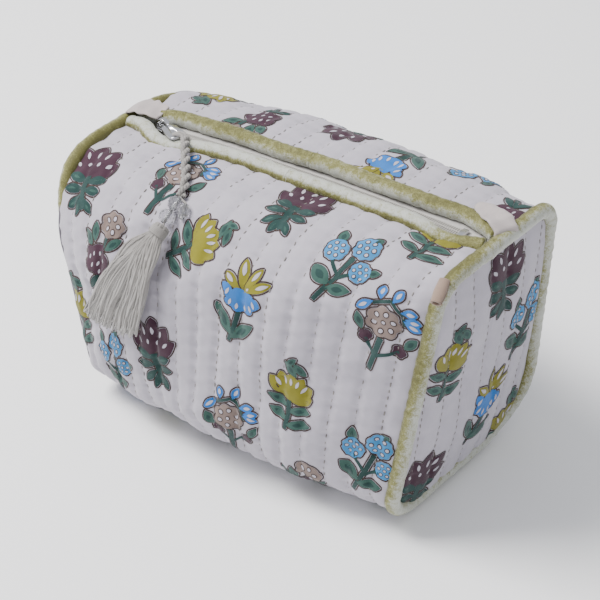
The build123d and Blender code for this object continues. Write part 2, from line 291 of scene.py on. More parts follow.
COVER = cotton("printed cotton ground", (0.412, 0.386, 0.436), (0.366, 0.343, 0.390))


def bend_with_mouth(piece, t_side, a_side):
    """Bakes a quarter of the mouth's placement into its mesh, as it lies on the bag."""
    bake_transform(piece)


def wrap_sheet(columns, count, lift=0.0):
    """The cloth from the front fold line, under the bottom, to the back fold line."""
    share = np.linspace(0, 1, count)
    A = np.repeat(columns[None, :], count, 0)
    halves = []
    for back in (0, 1):
        T = FOLD + share[:, None] * (half_girth(A / HALF_LENGTH, back) - FOLD)
        halves.append(cloth(A, T if back else -T, lift))
    return np.concatenate([halves[0], halves[1][-2::-1]], 0)


def mouth_strip(name, columns, t_side, a_side, step, finish, lift=0.0):
    """A quarter of the strips beside the zip. It faces out, or in where it is a sunk lining."""
    part = columns[columns * a_side >= -0.01]
    rows = np.linspace(ZIP_EDGE, FOLD, int(round((FOLD - ZIP_EDGE) / step)) + 1)
    A, T = np.meshgrid(part, t_side * rows)
    flip = (t_side < 0) == (lift >= 0)
    return new_piece(name, grid_mesh(name, cloth(A, T, lift), flip=flip), finish)


COLUMNS = np.linspace(-HALF_LENGTH, HALF_LENGTH, 169)

wrap = grid_mesh("quilted_cloth", wrap_sheet(COLUMNS, 320))
body_cloth = new_piece("quilted_cloth", wrap, COVER)
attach(body_cloth, "bag")
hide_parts("front_panel", "back_panel")

# the strips between the fold lines and the zip, each in two halves
for t_side, face, a_side, end in QUARTERS:
    name = "mouth_cloth_" + face + "_" + end
    piece = mouth_strip(name, COLUMNS, t_side, a_side, 1.4, COVER)
    bend_with_mouth(piece, t_side, a_side)
    if end == "left":
        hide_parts(face + "_flap_panel")

# ---- Stitches ------------------------------------------------------------------------
# Running stitches in ground-coloured thread hold each channel: short floats of thread that
# lie in the valley, one every 4.4 mm. The thread is coloured darker than the ground, as painted shade of
# the valleys.
THREAD_WITH_PAINTED_SHADE = cotton("quilting thread", (0.24, 0.222, 0.20), (0.17, 0.155, 0.14), bump=0.1)
seams = [FIRST_SEAM + CHANNEL * k for k in range(-8, 8)]


def stitch_mesh(name, starts, ends, outs):
    """Short thread floats: each a low four-sided bar that dips at both ends."""
    work = bmesh.new()
    for start, end, out in zip(starts, ends, outs):
        along = (end - start).normalized()
        side = out.cross(along).normalized() * 0.00034
        drop = out * 0.00016
        rings = []
        for share, high in ((0, -0.00012), (0.2, 0.00026), (0.8, 0.00026), (1, -0.00012)):
            at = start.lerp(end, share) + out * high
            corners = (at, at + side - drop, at - out * 0.00030, at - side - drop)
            rings.append([work.verts.new(corner) for corner in corners])
        for one, two in zip(rings, rings[1:]):
            for k in range(4):
                work.faces.new((one[k], two[k], two[(k + 1) % 4], one[(k + 1) % 4]))
        work.faces.new(rings[0])
        work.faces.new(rings[-1][::-1])
    bmesh.ops.recalc_face_normals(work, faces=work.faces)
    mesh = bpy.data.meshes.new(name)
    work.to_mesh(mesh)
    work.free()
    mesh.shade_smooth()
    return mesh


def seam_stitches(t_from, t_to, a_side, side):
    """Ends and outward directions of the stitches between two girth distances."""
    starts, ends, outs = [], [], []
    for seam in seams:
        if a_side and seam * a_side < 0:
            continue
        top = t_to
        if t_to is None:
            top = float(half_girth(np.array(seam / HALF_LENGTH), side > 0)) - 3
        first = t_from + 1.0 + (seam * 0.37) % 2.0
        place = np.arange(first, top - 2.4, STITCH)
        length = 2.45 + 0.35 * np.sin(place * 1.7 + seam)
        drift = 0.25 * np.sin(place / 9 + seam) + 0.12 * np.sin(place * 2.9)
        one = cloth(seam + drift, side * place)
        two = cloth(seam + drift, side * (place + length))
        high = cloth(seam + drift, side * (place + length / 2), 1.0)
        low = cloth(seam + drift, side * (place + length / 2))
        for p, q, h, g in zip(one, two, high, low):
            starts.append(Vector(p))
            ends.append(Vector(q))
            outs.append(Vector(h - g).normalized())
    return starts, ends, outs


front = seam_stitches(FOLD, None, 0, -1)
back = seam_stitches(FOLD, None, 0, 1)
both = [one + two for one, two in zip(front, back)]
body_stitches = new_piece("body_stitches", stitch_mesh("body_stitches", *both), THREAD_WITH_PAINTED_SHADE)
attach(body_stitches, "bag")
for t_side, face, a_side, end in QUARTERS:
    name = "mouth_stitches_" + face + "_" + end
    found = seam_stitches(ZIP_EDGE + 3, FOLD, a_side, t_side)
    piece = new_piece(name, stitch_mesh(name, *found), THREAD_WITH_PAINTED_SHADE)
    bend_with_mouth(piece, t_side, a_side)


# ---- End panels ----------------------------------------------------------------------
# Each end is a quilted panel of the same cotton inside a ring of piping. The channels stand
# upright, and the filling pushes the panel out a little above the base.
END_SEAM_SHIFT = {-1: 0, 1: 3}
END_HALF_WIDTH = {-1: 66.0, 1: 50.0}
END_SWELL = {-1: 1.2, 1: 0.6}


def end_point(side, across, rise, lift=0.0):
    """Place on an end panel, across mm to +Y and rise mm up the panel, in metres."""
    height, tuck = END_HEIGHT[side], END_TUCK[side]
    slant = 1 / math.hypot(1, tuck)
    level = PIPING_RADIUS + rise / math.hypot(1, tuck)
    seam = np.abs(np.mod(across + 7 + END_SEAM_SHIFT[side], CHANNEL) - 7)
    row = np.round(across / CHANNEL)
    valley = np.exp(-((seam / 2.0) ** 2))
    quilt = -1.05 * valley + 0.15 * np.sin(2 * np.pi * rise / STITCH + row) * valley
    quilt = quilt + 0.2 * np.sin(rise / 1.5 + row * 2) * np.exp(-((seam / 4.5) ** 2))
    inside = np.clip(1 - (across / END_HALF_WIDTH[side]) ** 2, 0, 1)
    inside = inside * np.clip(1 - ((rise / height) * 2 - 1) ** 2, 0, 1)
    swell = 6.5 * inside ** END_SWELL[side]
    swell = swell - 2.5 * np.exp(-(((rise - height) / 24) ** 2)) * inside**0.3
    swell = swell + 1.3 * ripple(across * 1.3, rise * 1.2, 6 + side) * inside**0.4
    out = swell + quilt * np.clip(inside * 6, 0, 1) + lift
    flat = HALF_LENGTH + tuck * np.minimum(level - PIPING_RADIUS - height, 0)
    if side < 0:
        flat = flat - LEFT_SLUMP * np.clip((height - rise) / 50, 0, 1)
    x = side * (flat + out * slant)
    z = level - out * slant * tuck
    return np.stack([x, across + 0 * x, z], -1) * MM


def end_outline(side, back):
    """The ring's outline on the panel: distance across and up, from the zip to the base."""
    girth = float(half_girth(np.array(float(side)), back))
    t = np.linspace(0, girth, 400)
    ring = smooth_cloth(np.full_like(t, side * HALF_LENGTH), np.where(back, t, -t - 1e-9))
    return np.abs(ring[:, 1]), (ring[:, 2] - PIPING_RADIUS) * math.hypot(1, END_TUCK[side])


def end_half_width(side, rise, back=0):
    """Distance from the panel's middle line to its edge at each rise, and the panel's height."""
    across, up = end_outline(side, back)
    widest = across.argmax()
    upper = np.interp(-rise, -up[: widest + 1], across[: widest + 1])
    lower = np.interp(-rise, -up[widest:], across[widest:])
    return np.where(rise > up[widest], upper, lower), up.max()


def end_sheet(side, rise, count, inset=0, lift=0.0):
    """A sheet of points over an end panel, from its front edge to its back edge."""
    to_front, to_back = (end_half_width(side, rise, back)[0] for back in (0, 1))
    if inset:
        to_front, to_back = np.maximum(to_front - inset, 1), np.maximum(to_back - inset, 1)
    rows = np.linspace(0, 1, count)
    across = rows[:, None] * (to_front + to_back)[None, :] - to_front[None, :]
    return end_point(side, across, np.repeat(rise[None, :], count, 0), lift)


for side, end in ENDS:
    _, high = end_half_width(side, np.array(0.0))
    rise = high * (0.5 - 0.5 * np.cos(np.linspace(0, np.pi, 110)))
    name = "end_cloth_" + end
    panel = grid_mesh(name, end_sheet(side, rise, 120), flip=side > 0)
    piece = new_piece(name, panel, COVER)
    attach(piece, "bag")
    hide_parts("end_panel_" + end)
    starts, ends, outs = [], [], []
    for across in np.arange(-56, 57, CHANNEL) - END_SEAM_SHIFT[side]:
        place = np.arange(8, high - 8, STITCH)
        wide, _ = end_half_width(side, place, across > 0)
        place = place[wide > abs(across) + 4]
        across = across + 0 * place
        for p, q, h in zip(
            end_point(side, across, place, 0.05),
            end_point(side, across, place + 2.5, 0.05),
            end_point(side, across, place, 1.0),
        ):
            starts.append(Vector(p))
            ends.append(Vector(q))
            outs.append(Vector(h - p).normalized())
    name = "end_stitches_" + end
    piece = new_piece(name, stitch_mesh(name, starts, ends, outs), THREAD_WITH_PAINTED_SHADE)
    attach(piece, "bag")


# ---- Block print ---------------------------------------------------------------------
# Six flower blocks are hand-printed on the cotton before it is quilted: flat ink shapes with
# a thin brown key line that never quite meets the fill, and small unprinted slots.
def ink(name, colour, rough=0.8):
    """Ink soaked into cotton: its strength drifts with the cloth's patchiness."""
    deep = tuple(c * 0.78 for c in colour)
    pale = tuple(c * 1.12 + 0.008 for c in colour)
    return cotton(name, pale, deep, rough=rough, sheen=0.15, bump=0.2)


INKS = {
    "maroon": ink("maroon ink", (0.036, 0.009, 0.022)),
    "green": ink("dark green ink", (0.007, 0.036, 0.032)),
    "leaf": ink("leaf green ink", (0.026, 0.075, 0.060)),
    "blue": ink("blue ink", (0.012, 0.135, 0.43)),
    "sky": ink("light blue ink", (0.036, 0.200, 0.42)),
    "olive": ink("olive ink", (0.175, 0.160, 0.007)),
    "tan": ink("tan ink", (0.190, 0.140, 0.122)),
    "line": ink("brown key line", (0.034, 0.018, 0.014)),
    "bare": COVER,
}
INK_ORDER = list(INKS)
LIFTS = {"line": 0.33, "bare": 0.38}


def petal(x0, y0, x1, y1, width, fat=1.0):
    """A leaf or petal from its root to its tip; a larger fat puts its widest part further out."""
    def outline(s, c):
        wide = width / 2 * np.sin(np.pi * s**fat) ** 0.8
        length = math.hypot(x1 - x0, y1 - y0)
        px, py = -(y1 - y0) / length, (x1 - x0) / length
        return x0 + (x1 - x0) * s + px * c * wide, y0 + (y1 - y0) * s + py * c * wide
    return outline


def spot(x, y, across, up, turn=0.0):
    """A round or oval spot."""
    def outline(s, c):
        angle = np.pi * s
        u, v = np.cos(angle) * across / 2, c * np.sin(angle) * up / 2
        cos, sin = math.cos(math.radians(turn)), math.sin(math.radians(turn))
        return x + u * cos - v * sin, y + u * sin + v * cos
    return outline


def lobed(x, y, across, up, lobes, dip=0.12, turn=0.0):
    """A flower head with a scalloped edge."""
    def outline(s, c):
        angle = np.pi * s
        u, v = np.cos(angle), c * np.sin(angle)
        bearing = np.arctan2(v, u + 1e-9)
        reach = 1 - dip + dip * np.abs(np.cos(bearing * lobes / 2 + turn)) * 2
        return x + u * across / 2 * reach, y + v * up / 2 * reach
    return outline


def stem(points, width):
    """A bent stem of even width."""
    points = np.array(points, float)
    def outline(s, c):
        at = s * (len(points) - 1)
        k = np.clip(at.astype(int), 0, len(points) - 2)
        share = at - k
        share = share * share * (3 - 2 * share) * 0.4 + share * 0.6
        step = points[k + 1] - points[k]
        length = np.hypot(step[..., 0], step[..., 1])
        px, py = -step[..., 1] / length, step[..., 0] / length
        base = points[k] + step * share[..., None]
        wide = width / 2 * (1 + 0.25 * (1 - s))
        return base[..., 0] + px * c * wide, base[..., 1] + py * c * wide
    return outline


def slot_in(x0, y0, x1, y1, width):
    """A narrow unprinted slot between two points."""
    return "bare", petal(x0, y0, x1, y1, width, 0.9), False


def part_way(x0, y0, x1, y1, first, last):
    """The stretch of a line between two shares of its length."""
    across, up = x1 - x0, y1 - y0
    return x0 + across * first, y0 + up * first, x0 + across * last, y0 + up * last


def iris():
    """Five looped olive petals over a blue bell, on a green stem with two leaves."""
    parts = [("green", stem([(-1, -7), (-2.5, -16), (-5, -24)], 2.2), True)]
    parts += [("leaf", petal(-3.5, -20, -15, -5, 6.5), True)]
    parts += [("leaf", petal(-4, -22, 9, -11, 6), True)]
    for x1, y1, wide in ((-12, 13, 5.2), (-3, 22, 5.6), (8, 20, 5.0), (15, 14, 5.0), (4.5, 9, 3)):
        middle_x, middle_y = 0.5 + (x1 - 0.5) * 0.5, 5 + (y1 - 5) * 0.5
        parts += [("olive", petal(0.5, 5, x1, y1, wide, 1.5), True)]
        parts += [slot_in(middle_x, middle_y, x1 * 0.92, 5 + (y1 - 5) * 0.9, wide * 0.42)]
    parts += [("blue", lobed(0, 0, 19, 13, 7, 0.10), True)]
    parts += [("blue", petal(-3, 2, -12.5, 7, 5, 1.4), True), ("blue", petal(3, 2, 12, 1, 6, 1.4), True)]
    for x, y in ((-7, -2), (-2.6, -3.6), (2.6, -3.6), (7, -2), (-9, 3.6), (9, 1)):
        parts += [slot_in(x, y - 2, x * 0.8, y + 2, 1.7)]
    return parts


def carnation():
    """A maroon fan with pale slots on a cluster of lobed dark green leaves."""
    parts = [("maroon", petal(0, -3, 0, 19, 10, 1.3), True)]
    for x1, y1 in ((-11, 15), (11, 15), (-15, 6.5), (15, 6.5)):
        parts += [("maroon", petal(0, -3, x1, y1, 9.5, 1.35), True)]
    for x, y in ((0, 11), (-6.5, 10), (6.5, 10), (-10, 4.2), (10, 4.2), (-3, 4.5), (3.4, 4.5)):
        parts += [slot_in(x * 0.82, y * 0.82, x * 1.12, y * 1.12 + 1.4, 1.9)]
    parts += [("green", stem([(0, -2), (0.5, -10), (3, -20)], 3.4), True)]
    for x0, y0, x1, y1, w in (
        (0, -5, -13, -1, 5.5), (0, -9, -14, -9, 5), (0, -12, -9, -19, 4.6), (0, -6, 12, -3, 5.5),
        (1, -10, 12, -11, 4.8), (2, -14, 9, -22, 4.2), (0.5, -13, -2, -23, 4),
    ):
        parts += [("green", petal(x0, y0, x1, y1, w, 1.3), True)]
        vein = part_way(x0, y0, x1, y1, 0.45, 0.85)
        parts += [("leaf", petal(*vein, w * 0.3), False)]
    return parts


def hydrangea():
    """Three light blue balls full of small rings, on a branching green stem."""
    parts = [("green", stem([(3, 4), (0, -6), (-6, -22)], 2.2), True)]
    parts += [("green", stem([(-0.6, -7), (-6, -2), (-8, 3)], 1.6), False)]
    parts += [("green", stem([(-1, -9), (5, -5), (9, -4)], 1.6), False)]
    parts += [("leaf", petal(-3, -13, -15, -6, 8), True), ("leaf", petal(-3.5, -15, 10, -12, 6), True)]
    parts += [("leaf", petal(-9, 9, -11, 17, 5.5), True), ("leaf", petal(5, 15, 9, 20, 4.5), True)]
    parts += [("leaf", petal(13, -1, 20, 2, 3.8), True)]
    for x, y, size in ((-8.5, 5, 12), (5, 11.5, 13.5), (10, -1.5, 10.5)):
        parts += [("sky", lobed(x, y, size, size, 9, 0.06), True)]
        ring = [(0, 0)] + [(0.31 * math.cos(k * 1.05), 0.31 * math.sin(k * 1.05)) for k in range(6)]
        for u, v in ring:
            parts += [("line", spot(x + u * size, y + v * size, size * 0.21, size * 0.21), False)]
            parts += [("bare", spot(x + u * size, y + v * size, size * 0.14, size * 0.14), False)]
    return parts


def arch():
    """An arc of blue loops over a tan rosette, with maroon buds on green branches."""
    parts = [("green", stem([(-9, 14), (0, 18.5), (7, 14), (9, 8)], 1.4), True)]
    for loop in (
        (-9, 15, -16, 9), (-6, 17, -7, 24), (1, 18, 4, 25),
        (6, 15, 14, 17), (8, 11, 17, 9), (8.5, 12, 16.5, 13),
    ):
        parts += [("blue", petal(*loop, 4.6, 1.3), True)]
        parts += [slot_in(*part_way(*loop, 0.35, 0.85), 1.9)]
    parts += [("tan", lobed(-1, 6, 17, 16, 7, 0.09), True)]
    for k in range(6):
        x, y = -1 + 5.2 * math.cos(k * 1.05 + 0.4), 6 + 5 * math.sin(k * 1.05 + 0.4)
        parts += [("line", spot(x, y, 3.6, 3.2, k * 60), False)]
        parts += [("bare", spot(x, y, 2.5, 2.1, k * 60), False)]
    parts += [("line", spot(-1, 6, 2.8, 2.8), False), ("bare", spot(-1, 6, 1.8, 1.8), False)]
    parts += [("green", stem([(-1, -3), (-2.5, -12), (-4, -22)], 2.4), True)]
    parts += [("green", stem([(-3, -14), (4, -10), (9, -7)], 1.5), False)]
    parts += [("green", stem([(-3, -14), (-7, -9), (-9, -6)], 1.5), False)]
    parts += [("maroon", lobed(-9, -5, 6.5, 6.5, 5), True), ("maroon", lobed(9, -6.5, 6.5, 6, 5), True)]
    parts += [("leaf", petal(-11, -2, -15, 7, 4.6), True), ("leaf", petal(11, -4, 16, 4, 4.6), True)]
    return parts


def fan():
    """An olive fan with oval slots under a curled pair of leaves, on a stem with four leaves."""
    parts = [("olive", petal(0, -7, 0, 8, 10, 1.2), True)]
    for x1, y1 in ((-7, 7), (7, 7), (-12.5, 3), (12.5, 3), (13, -3)):
        parts += [("olive", petal(0, -8, x1, y1, 8, 1.3), True)]
    for x, y in ((0, 3), (-4, 2.6), (4, 2.6), (-8, 0.6), (8, 0.6)):
        parts += [slot_in(x * 0.75, y - 2.4, x * 1.15, y + 2.4, 1.7)]
    parts += [("leaf", petal(3, 7, -4, 15, 5), True), ("leaf", petal(1, 15, 8, 9, 4.5), True)]
    parts += [("leaf", petal(-3, 13, 2, 18, 3.4), True)]
    parts += [("green", stem([(0, -8), (0.5, -16), (-0.5, -25)], 2.3), True)]
    for x1, y1 in ((-13, -8), (13, -11), (-11.5, -16), (14, -19)):
        parts += [("leaf", petal(0, y1 - 3.5, x1, y1, 4.8), True)]
    return parts


def rosebud():
    """A tan rosette and green leaves behind a maroon bud with pale slots."""
    parts = [("green", stem([(4, 6), (2, -4), (-1, -16), (2, -24)], 2.0), True)]
    parts += [("tan", lobed(6, 13, 15, 13, 7, 0.09), True)]
    for k in range(5):
        x, y = 6 + 4 * math.cos(k * 1.26), 13 + 3.6 * math.sin(k * 1.26)
        parts += [("line", spot(x, y, 3.6, 3.0, k * 72), False)]
        parts += [("bare", spot(x, y, 2.5, 2.0, k * 72), False)]
    parts += [("maroon", lobed(-2, -6, 19, 15, 5, 0.1), True)]
    for x, y in ((-7, -5), (-3.5, -3), (0.5, -2.5), (-5, -9), (-1, -8), (3.5, -6), (0, -12)):
        parts += [slot_in(x - 0.3, y - 1.3, x + 0.5, y + 1.3, 1.3)]
    parts += [("leaf", petal(-6, 1, -13, 8, 5.5), True), ("leaf", petal(-4, 3, -5, 13, 5), True)]
    parts += [("leaf", petal(5, 0, 14, 7, 5), True), ("green", petal(-1, -14, -8, -22, 4), True)]
    parts += [("green", petal(0, -14, 7, -21, 4), True)]
    return parts


BLOCKS = {
    "iris": iris(),
    "carnation": carnation(),
    "hydrangea": hydrangea(),
    "arch": arch(),
    "fan": fan(),
    "rosebud": rosebud(),
}


def ink_sheets(block, turn):
    """The block's ink shapes as small sheets of local points, turned by so many degrees.

    Each gives its ink, its lift off the cloth, and its points across and up.
    """
    cos, sin = math.cos(math.radians(turn)), math.sin(math.radians(turn))

    def turned(colour, lift, x, y):
        return colour, lift, x * cos - y * sin, x * sin + y * cos

    for order, (colour, outline, edged) in enumerate(BLOCKS[block]):
        # a coarse sheet tells the shape's size, and a large shape gets a finer one
        for along, across in ((13, 5), (21, 9)):
            s, c = np.linspace(0, 1, along), np.linspace(-1, 1, across)
            x, y = outline(np.repeat(s[None, :], across, 0), np.repeat(c[:, None], along, 1))
            if max(np.ptp(x), np.ptp(y)) <= 14:
                break
        yield turned(colour, LIFTS.get(colour, 0.24) + 0.012 * min(order, 9), x, y)
        if not edged:
            continue
        if colour == "leaf":
            inner_x = x.mean() + (x - x.mean()) * 0.45
            inner_y = y.mean() + (y - y.mean()) * 0.45
            yield turned("green", 0.36, inner_x, inner_y)
        rim_x = np.concatenate([x[0], x[-1, ::-1]])
        rim_y = np.concatenate([y[0], y[-1, ::-1]])
        step_x = np.roll(rim_x, -1) - np.roll(rim_x, 1)
        step_y = np.roll(rim_y, -1) - np.roll(rim_y, 1)
        length = np.hypot(step_x, step_y) + 1e-9
        out_x, out_y = step_y / length, -step_x / length
        if ((rim_x - rim_x.mean()) * out_x + (rim_y - rim_y.mean()) * out_y).sum() < 0:
            out_x, out_y = -out_x, -out_y
        bands = [(rim_x + out_x * reach, rim_y + out_y * reach) for reach in (0.30, 0.62, 1.0)]
        ring_x = np.stack([np.append(b[0], b[0][0]) for b in bands])
        ring_y = np.stack([np.append(b[1], b[1][0]) for b in bands])
        yield turned("line", 0.20, ring_x, ring_y)


def add_sheet(work, points, ink_index, outward):
    """Adds a sheet of points to a mesh being built, facing outward, in one ink."""
    rows, columns = points.shape[:2]
    made = bmesh.ops.create_grid(work, x_segments=columns - 1, y_segments=rows - 1, size=0.5)
    for vert, place in zip(made["verts"], points.reshape(-1, 3)):
        vert.co = place
    faces = {face for vert in made["verts"] for face in vert.link_faces}
    for face in faces:
        face.material_index = ink_index
        face.smooth = True
        face.normal_update()
    total = sum((face.normal * face.calc_area() for face in faces), Vector())
    if total.dot(outward) < 0:
        bmesh.ops.reverse_faces(work, faces=list(faces))


# where each block was put down: name, mm along the bag, mm from the zip, turn in degrees
FRONT_PRINTS = [
    ("carnation", -102, 50, 8), ("arch", -49, 40, 0), ("carnation", 20, 27, 0),
    ("hydrangea", 65, 50, 0), ("fan", 92, 9, 0), ("rosebud", -78, 86, 0), ("fan", -12, 64, -52),
    ("iris", 20, 88, 0), ("arch", 97, 76, 0), ("carnation", -37, 134, 4), ("fan", 54, 125, 0),
    ("hydrangea", -77, 151, 0), ("arch", 18, 165, 0), ("hydrangea", 101, 152, 0),
    ("fan", -112, 122, 0), ("rosebud", 62, 188, 0), ("carnation", -18, 212, 0),
    ("iris", -56, 205, 0), ("fan", 100, 215, 0), ("arch", -98, 205, 0), ("iris", 34, 236, 0),
]
BACK_PRINTS = [
    ("rosebud", 104, 16, 0), ("iris", 32, 27, 0), ("carnation", -8, 52, 0), ("rosebud", -56, 26, 0),
    ("fan", -97, 46, 0), ("hydrangea", 70, 58, 0), ("arch", -34, 88, 0), ("carnation", -80, 98, 0),
    ("iris", 100, 92, 0), ("fan", 30, 98, 0), ("rosebud", 60, 132, 0), ("hydrangea", 2, 136, 0),
    ("iris", -52, 148, 0), ("arch", -100, 148, 0), ("carnation", 98, 150, 0), ("fan", 34, 178, 0),
    ("rosebud", -20, 186, 0), ("hydrangea", -76, 196, 0), ("arch", 76, 200, 0), ("iris", 4, 226, 0),
    ("carnation", 46, 236, 0), ("fan", -46, 236, 0),
]
PRINT_MARGIN = 3
LEAST_PRINT = 1.2
print_sheets = {}


def print_on_cloth(block, a0, t0, turn, side):
    """Puts a block's ink on the front or back cloth, cut off short of the rings and the zip."""
    reach, edge = HALF_LENGTH - PRINT_MARGIN, ZIP_EDGE + 1
    for colour, lift, u, v in ink_sheets(block, turn):
        a = a0 - side * u
        t = t0 - v
        inside = (np.abs(a) < reach).all() and (t > edge).all()
        if not inside:
            if abs(a.mean()) > reach + 1 or t.mean() < edge + 1:
                continue
            a = np.clip(a, -reach, reach)
            t = np.maximum(t, edge)
            if np.ptp(a) < LEAST_PRINT or np.ptp(t) < LEAST_PRINT:
                continue
        points = cloth(a, side * t, lift)
        centre_a, centre_t = a.mean(), t.mean()
        out = cloth(centre_a, side * centre_t, 2.0) - cloth(centre_a, side * centre_t)
        region = ("mouth", side, 1 if centre_a > 0 else -1)
        if centre_t > FOLD:
            region = ("bag", side)
        sheets = print_sheets.setdefault(region, [])
        sheets.append((points, INK_ORDER.index(colour), Vector(out)))


for placed in FRONT_PRINTS:
    print_on_cloth(*placed, -1)
for placed in BACK_PRINTS:
    print_on_cloth(*placed, 1)

# the same on the end panels: name, mm across to the back, mm up the panel, turn in degrees
END_PRINTS = {
    1: [
        ("carnation", 8, 126, -8), ("hydrangea", 31, 86, -6), ("fan", -30, 99, -14),
        ("iris", 6, 46, -14), ("fan", 36, 14, -10), ("carnation", -38, 20, -14),
    ],
    -1: [
        ("iris", 20, 96, 0), ("rosebud", -24, 92, 0), ("carnation", -4, 56, 0),
        ("hydrangea", 44, 50, 0), ("arch", -46, 46, 0), ("fan", 18, 20, 0), ("iris", -24, 12, 0),
    ],
}
for side, placed in END_PRINTS.items():
    sheets = print_sheets.setdefault(("end", side), [])
    for block, across0, rise0, turn in placed:
        for colour, lift, u, v in ink_sheets(block, turn):
            across, rise = across0 + side * u, rise0 + v
            _, high = end_half_width(side, rise)
            rise = np.clip(rise, PRINT_MARGIN, high - PRINT_MARGIN)
            to_front, to_back = (end_half_width(side, rise, back)[0] for back in (0, 1))
            across = np.clip(across, -to_front + PRINT_MARGIN, to_back - PRINT_MARGIN)
            if np.ptp(rise) < LEAST_PRINT or np.ptp(across) < LEAST_PRINT:
                continue
            points = end_point(side, across, rise, lift)
            sheets.append((points, INK_ORDER.index(colour), Vector((side, 0, 0))))

for region, sheets in print_sheets.items():
    name = "print_" + "_".join(str(word) for word in region).replace("-1", "minus").replace("1", "plus")
    mesh = bpy.data.meshes.new(name)
    # a few sheets at a time, because a long list of grids slows the next one down
    whole = bmesh.new()
    for k in range(0, len(sheets), 12):
        work = bmesh.new()
        for points, ink_index, outward in sheets[k : k + 12]:
            add_sheet(work, points, ink_index, outward)
        work.to_mesh(mesh)
        work.free()
        whole.from_mesh(mesh)
    whole.to_mesh(mesh)
    whole.free()
    piece = new_piece(name, mesh, *[INKS[key] for key in INK_ORDER])
    if region[0] == "mouth":
        bend_with_mouth(piece, region[1], region[2])
    else:
        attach(piece, "bag")


# ---- Lining and wadding --------------------------------------------------------------
# A plain cotton lining is quilted to the cover through a layer of wadding, so the inside is
# one smooth bag of the same outline, 4 mm in from the cover.
LINING = cotton("lining cotton", (0.66, 0.64, 0.60), (0.60, 0.58, 0.545))
LINING_SINK = -4.6
END_LINING_SINK = {-1: -9.5, 1: -4.2}
inner_columns = np.linspace(-HALF_LENGTH + 4, HALF_LENGTH - 4, 61)
inner_wrap = grid_mesh("lining_bag", wrap_sheet(inner_columns, 90, LINING_SINK), flip=True)
inner = new_piece("lining_bag", inner_wrap, LINING)
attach(inner, "bag")
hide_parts("front_lining", "back_lining", "front_wadding", "back_wadding")
for t_side, face, a_side, end in QUARTERS:
    name = "lining_mouth_" + face + "_" + end
    piece = mouth_strip(name, inner_columns, t_side, a_side, 3.0, LINING, LINING_SINK)
    if end == "left":
        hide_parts(face + "_flap_lining", face + "_flap_wadding")
    bend_with_mouth(piece, t_side, a_side)
for side, end in ENDS:
    _, high = end_half_width(side, np.array(0.0))
    rise = np.linspace(3, high - 3, 40)
    name = "lining_end_" + end
    panel = end_sheet(side, rise, 40, inset=3, lift=END_LINING_SINK[side])
    piece = new_piece(name, grid_mesh(name, panel, flip=side < 0), LINING)
    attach(piece, "bag")
    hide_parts("end_lining_" + end, "end_wadding_" + end)


# ---- Piping --------------------------------------------------------------------------
# Crushed olive velvet cut on the bias and sewn round a cotton cord. Its colour is painted from deep
# olive
# to nearly white: the whitish parts are painted sheen, set by which way each point faces.
def velvet():
    """Crushed velvet: a per-point attribute of painted sheen whitens its colour, and two noises tuft and
    crush it.
    """
    finish = bpy.data.materials.new("crushed olive velvet")
    finish.use_nodes = True
    tree = finish.node_tree
    shader = tree.nodes["Principled BSDF"]
    shader.inputs["Roughness"].default_value = 0.62
    shader.inputs["Specular IOR Level"].default_value = 0.25
    shader.inputs["Sheen Weight"].default_value = 0.55
    shader.inputs["Sheen Roughness"].default_value = 0.28
    shader.inputs["Sheen Tint"].default_value = (0.86, 0.88, 0.78, 1)
    place = node(tree, "ShaderNodeTexCoord")
    crush = node(
        tree, "ShaderNodeTexNoise", Scale=330.0, Detail=6.0, Roughness=0.68, Distortion=0.5
    )
    tuft = node(tree, "ShaderNodeTexNoise", Scale=1500.0, Detail=3.0, Roughness=0.7)
    # painted sheen read at each point; the crushed-pile noises are added to it below
    pile = node(tree, "ShaderNodeAttribute", attribute_name="painted_sheen").outputs["Fac"]
    for noise, reach in ((crush, 0.27), (tuft, 0.22)):
        tree.links.new(place.outputs["Object"], noise.inputs["Vector"])
        spread = node(tree, "ShaderNodeMapRange")
        spread.inputs["From Min"].default_value = 0.3
        spread.inputs["From Max"].default_value = 0.7
        spread.inputs["To Min"].default_value = -reach
        spread.inputs["To Max"].default_value = reach
        sheen_and_crush = node(tree, "ShaderNodeMath", operation="ADD", use_clamp=True)
        tree.links.new(noise.outputs["Fac"], spread.inputs["Value"])
        tree.links.new(pile, sheen_and_crush.inputs[0])
        tree.links.new(spread.outputs["Result"], sheen_and_crush.inputs[1])
        pile = sheen_and_crush.outputs["Value"]
    # colour from dark olive to a near-white painted sheen
    tint = node(tree, "ShaderNodeValToRGB")
    ramp = tint.color_ramp
    ramp.elements[0].position = 0.05
    ramp.elements[0].color = (0.095, 0.090, 0.026, 1)
    ramp.elements[1].position = 0.88
    ramp.elements[1].color = (0.43, 0.44, 0.40, 1)
    ramp.elements.new(0.42).color = (0.205, 0.200, 0.072, 1)
    tree.links.new(pile, tint.inputs["Fac"])
    tree.links.new(tint.outputs["Color"], shader.inputs["Base Color"])
    relief = node(tree, "ShaderNodeBump", Strength=0.6, Distance=0.0005)
    tree.links.new(pile, relief.inputs["Height"])
    tree.links.new(relief.outputs["Normal"], shader.inputs["Normal"])
    return finish


VELVET = velvet()
CORD_FILL = cotton(
    "piping cord cotton", (0.72, 0.70, 0.64), (0.60, 0.58, 0.52), bump=0.5, spacing=0.0012
)


